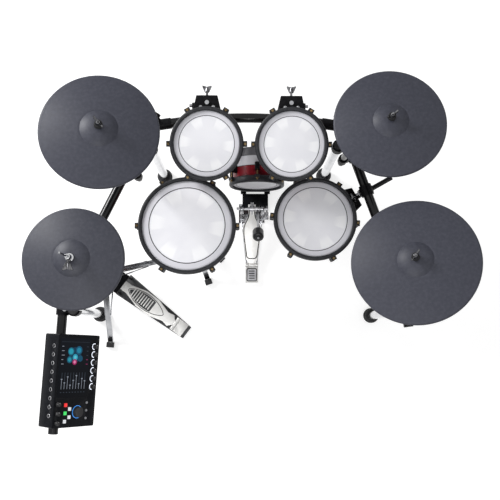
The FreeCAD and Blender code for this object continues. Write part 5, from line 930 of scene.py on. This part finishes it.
rowOf("pedal_heel_ridges", Shape().block(heelPad["ridge"], Matrix.Translation((0, 0, 0.0008)), 0.0008),
      heelPad["ridges"], (0, heelPad["step"], 0),
      shifted(padPlace, 0, heelPad["back"] + heelPad["step"], heelPad["thick"]), rubber, "rack")
print("stands and pedal frame built")

# Solids that are shown as they are, with their own finishes
carried = {
    "back_rail": tubeBlack, "side_rails": tubeBlack, "rack_legs": legChrome, "rubber_feet": rubber,
    "rail_clamps": clampBlack, "clamp_bolts": chrome, "snare_basket": chrome, "kick_tower": towerBlack,
    "kick_axle": steel,
}
for node, look in carried.items():
    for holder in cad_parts[node].material_slots:
        holder.material = look
armSolids = solidsOf("cymbal_arms")
posts = [solid for solid in armSolids if solid["size"].z > 3 * max(solid["size"].x, solid["size"].y)]
copied("cymbal_posts", posts, tubeBlack, "rack", ["cymbal_arms"])
copied("cymbal_booms", [solid for solid in armSolids if solid not in posts], tubeBlack, "rack")
print("rack dressed")

# Sound module: case, screen, knobs and lit buttons; its frame's ground is the case's face
modulePlace = frameAt((-0.735138, -0.637233, 0.700672), (0.79754, -0.04178, 0.60182), (0.60099, -0.03148, -0.79864))
copied("module_body", solidsOf("module_case"), casePlastic, "module_unit", ["module_case"],
       bevel=0.0015)

# The screen's generic page: a picture of a kit above, a bank of faders below
screenSizes = {
    "glow": 1.0, "tall": 2.23,
    "discs": ((0.5, 0.72, 0.2, (0.006, 0.035, 0.07)), (0.36, 0.78, 0.1, (0.01, 0.13, 0.2)),
              (0.36, 0.78, 0.07, (0.02, 0.3, 0.4)), (0.62, 0.8, 0.11, (0.008, 0.08, 0.15)),
              (0.62, 0.8, 0.07, (0.015, 0.2, 0.32)), (0.33, 0.64, 0.09, (0.008, 0.09, 0.15)),
              (0.33, 0.64, 0.055, (0.02, 0.26, 0.34)), (0.68, 0.66, 0.08, (0.008, 0.07, 0.13)),
              (0.51, 0.68, 0.085, (0.02, 0.3, 0.44)), (0.51, 0.68, 0.045, (0.1, 0.5, 0.6)),
              (0.5, 0.6, 0.075, (0.3, 0.015, 0.1)), (0.5, 0.6, 0.04, (0.7, 0.2, 0.38))),
    "rows": 5, "levels": (0.3, 0.24, 0.34, 0.2, 0.28, 0.36, 0.22, 0.31, 0.27),
    "pale": (0.26, 0.29, 0.34), "dim": (0.035, 0.045, 0.06), "red": (0.3, 0.03, 0.12),
}


def screenLook():
    s = screenSizes
    look = Look("screenPicture", {"Roughness": 0.2, "Specular IOR Level": 0.08, "Emission Strength": s["glow"]})
    x, y, _ = look.ownXyz("flat")
    page = look.blend(look.soft(y, 0.1, 0.9), (0.0012, 0.0015, 0.0025), (0.003, 0.004, 0.007))

    def panel(left, right, low, high, paint):
        return look.blend((x > left) * (x < right) * (y > low) * (y < high), page, paint)

    for across, up, radius, paint in s["discs"]:
        away = ((x - across) * (x - across) + (y - up) * (y - up) * s["tall"]).math("SQRT")
        page = look.blend(away < radius, page, paint)
    for row in range(s["rows"]):
        low = 0.86 - row * 0.075
        page = panel(0.06, 0.12 + 0.02 * (row % 3), low, low + 0.01, s["pale"])
        page = panel(0.88, 0.94, low, low + 0.01, s["red"] if row > 2 else s["dim"])
    page = panel(0.04, 0.96, 0.94, 0.944, s["dim"])
    for fader, level in enumerate(s["levels"]):
        middle = 0.12 + fader * 0.095
        for half, low, high, paint in ((0.008, 0.14, 0.42, "dim"), (0.006, 0.14, level, "pale"),
                                       (0.026, level, level + 0.014, "pale"), (0.02, 0.08, 0.092, "dim")):
            page = panel(middle - half, middle + half, low, high, s[paint])
    look.set("Base Color", (0.003, 0.0035, 0.005, 1))
    look.set("Emission Color", page)
    return look.material


knobTone = (0.014, 0.014, 0.016)


def knobLook(name, mark):
    look = Look(name)
    x, y, z = look.ownXyz("flat")
    grain = look.noise(3200, 3)
    pointer = (abs(x) < 0.0007) * (y > 0.0035) * (z > 0)
    look.set("Base Color", look.blend(pointer, knobTone, mark))
    look.set("Roughness", 0.36 + grain * 0.2)
    look.bump(grain, 0.15)
    return look.material


def litLook(name, tone, glow):
    look = Look(name, {"Roughness": 0.4, "Emission Strength": glow})
    grain = look.noise(500, 2)
    look.set("Base Color", look.blend(look.soft(grain, 0.3, 0.7), [v * 0.85 for v in tone], tone))
    look.set("Emission Color", look.blend(look.soft(grain, 0.2, 0.8), [v * 0.9 for v in tone], tone))
    return look.material


def moduleBox(node):
    low, high = localBox([vertex.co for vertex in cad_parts[node].data.vertices], modulePlace)
    return low, high, (low + high) / 2


screenLow, screenHigh, _ = moduleBox("module_screen")
screen = Shape().plate(boxOutline(screenLow, screenHigh, 0.003), screenLow.z, screenHigh.z, modulePlace, 0.0004)
for vertex in screen.mesh.verts:
    local = vertex[screen.flat]
    vertex[screen.flat] = ((local.x - screenLow.x) / (screenHigh.x - screenLow.x),
                           (local.y - screenLow.y) / (screenHigh.y - screenLow.y), 0)
screen.piece("module_display", screenLook(), "module_unit", "screen_glass", ["module_screen"])

knobBlack, dialBlack = knobLook("knobBlack", (0.5, 0.5, 0.52)), knobLook("dialBlack", knobTone)
knobSizes = {"lift": 0.0003, "flutes": 18, "dialFlutes": 36, "cut": 0.05,
             "rings": ((0, 0, 0), (1, 0, 0), (1, 0.14, 0), (0.985, 0.17, 1), (0.94, 0.9, 1), (0.88, 1, 0.5),
                       (0.8, 0.985, 0), (0, 0.975, 0))}


def turnedKnob(node, flutes, look):
    low, high, middle = moduleBox(node)
    radius, tall = (high.x - low.x) / 2, high.z - knobSizes["lift"]
    rings = [(radius * out, tall * up, share) for out, up, share in knobSizes["rings"]]
    Shape().fluted(rings, shifted(modulePlace, middle.x, middle.y, knobSizes["lift"]), flutes,
                   radius * knobSizes["cut"]).piece(
        node + "_cap", look, node + "_unit", "knob_black", [node], smooth=50)


encoders = ["encoder_%d" % (index + 1) for index in range(6)]
for node in encoders + ["volume_%d" % (index + 1) for index in range(3)]:
    turnedKnob(node, knobSizes["flutes"], knobBlack)
turnedKnob("main_dial", knobSizes["dialFlutes"], dialBlack)

# Pale crescents beside the encoders and a glowing ring round the dial
crescent = {"outer": 0.0125, "inner": 0.0095, "turns": [math.radians(70 + step * 12.5) for step in range(17)]}
marks = Shape()
for node in encoders:
    middle = moduleBox(node)[2]
    ring = [middle + spun(crescent["outer"], turn) for turn in crescent["turns"]]
    ring += [middle + spun(crescent["inner"], turn) for turn in reversed(crescent["turns"])]
    marks.plate([(point.x, point.y) for point in ring], -0.0002, 0.0003, modulePlace)
marks.piece("module_crescents", litLook("markWhite", (0.8, 0.85, 0.95), 1.0), "module_unit", "button_plastic")
low, high, middle = moduleBox("main_dial")
dialEdge = (high.x - low.x) / 2
glow = Shape().lathe([(dialEdge + 0.0008, 0), (dialEdge + 0.0008, 0.0006), (dialEdge + 0.003, 0.0006),
                      (dialEdge + 0.003, 0)], shifted(modulePlace, middle.x, middle.y, -0.0001), 64, True)
glow.piece("module_dial_ring", litLook("dialGlow", (0.05, 0.25, 0.7), 1.0), "module_unit", "button_plastic")

# Jack nuts in a row along the near side
jackSizes = {"count": 9, "pitch": 0.032, "first": 0.3, "deep": -0.0228, "inside": 0.0052, "outside": 0.0076,
             "tall": 0.0018}
inside, outside, tall = jackSizes["inside"], jackSizes["outside"], jackSizes["tall"]
nut = Shape().lathe([(inside, 0), (outside, 0), (outside, tall * 0.6), (outside - 0.0008, tall),
                     (inside + 0.0004, tall), (inside, tall * 0.7)], turned(-90, "Y"), 28, True)
rowOf("module_jack_nuts", nut, jackSizes["count"], (0, -jackSizes["pitch"], 0),
      shifted(modulePlace, -0.0002, jackSizes["first"], jackSizes["deep"]), steel, "module_unit")

buttonWhite, buttonGrey = ((0.7, 0.72, 0.75), 0.5), ((0.3, 0.31, 0.33), 0.1)  # tone and glow
buttonTones = {"button_1": ((0.75, 0.03, 0.03), 0.8), "button_2": ((0.05, 0.6, 0.12), 0.8), "button_3": buttonWhite,
               "button_4": buttonWhite, "button_5": buttonWhite, "round_button_1": buttonGrey,
               "round_button_2": buttonGrey, "round_button_3": buttonGrey}
for node, (tone, strength) in buttonTones.items():
    copied(node + "_cap", solidsOf(node), litLook(node + "Lit", tone, strength), node + "_unit",
           [node], bevel=0.0006)
print("module built")


# Floor, light and camera
def seenRays(graph):
    camera, glossy, through = [graph.node("LightPath", out="Is %s Ray" % kind)
                               for kind in ("Camera", "Glossy", "Transmission")]
    return camera, camera.math("MAXIMUM", glossy).math("MAXIMUM", through)


floorSize = 14.0
floorData = Shape().lathe([(0, 0), (floorSize * 0.3, 0), (floorSize, 0)], Matrix.Translation((0, 0, -0.0005)),
                          96).data("floor")
if floorData.polygons[0].normal.z < 0:
    floorData.flip_normals()
floorPiece = linked("floor", floorData)
floorLook = Look("paleFloor", {"Roughness": 0.9, "Specular IOR Level": 0.0, "Emission Strength": 0.63})
_, seen = seenRays(floorLook)
dust = floorLook.noise(3, 3)
floorLook.set("Base Color", floorLook.blend(dust, (0.59, 0.59, 0.59), (0.61, 0.61, 0.61)))
floorLook.set("Emission Color", floorLook.blend(seen, (0, 0, 0), (1, 1, 1)))
floorData.materials.append(floorLook.material)

# The world is white where it is seen, but metal also mirrors a darker wall above the horizon
wallSizes = {"fill": 0.5, "middle": 0.2, "near": 0.1, "far": 0.35, "dark": 0.12}
scene.world = bpy.data.worlds.new("studio")
scene.world.use_nodes = True
sky = Graph(scene.world.node_tree)
cameraRay, seen = seenRays(sky)
fill = sky.node("Background", sockets={"Color": (1, 1, 1, 1), "Strength": wallSizes["fill"]})
height = sky.node("SeparateXYZ", sockets={"Vector": sky.node("TexCoord", out="Generated")}, out="Z")
wall = sky.node("MapRange", sockets={"Value": abs(height - wallSizes["middle"]), "From Min": wallSizes["near"],
                                     "From Max": wallSizes["far"], "To Min": wallSizes["dark"], "To Max": 1.0})
white = sky.node("Background", sockets={"Color": (1, 1, 1, 1), "Strength": wall.math("MAXIMUM", cameraRay)})
sky.close("ShaderNodeOutputWorld", "Surface", sky.node("MixShader", sockets={0: seen, 1: fill, 2: white}))

lamps = {"key": {"spot": (-3.0, 2.1, 2.5), "size": 1.4, "power": 150},
         "front": {"spot": (-0.5, -1.9, 3.4), "size": 1.8, "power": 33}}
lampTarget = Vector((0, 0, 0.6))
for name, lamp in lamps.items():
    light = bpy.data.lights.new(name, "AREA")
    light.shape = "DISK"
    light.size = lamp["size"]
    light.energy = lamp["power"]
    holder = linked(name, light)
    holder.location = lamp["spot"]
    holder.rotation_euler = (lampTarget - Vector(lamp["spot"])).to_track_quat("-Z", "Y").to_euler()

eye = {"spot": (-0.043, -0.305, 3.53), "ahead": (8 / 760, 87 / 760, -1), "right": (1, 0, 8 / 760), "lens": 54.72}
camera = bpy.data.cameras.new("camera")
camera.lens = eye["lens"]
camera.sensor_width = 36
camera.clip_end = 100
viewer = linked("camera", camera)
viewer.matrix_world = frameAt(eye["spot"], -Vector(eye["ahead"]), eye["right"])
scene.camera = viewer
print("stage set")

bpy.context.view_layer.update()
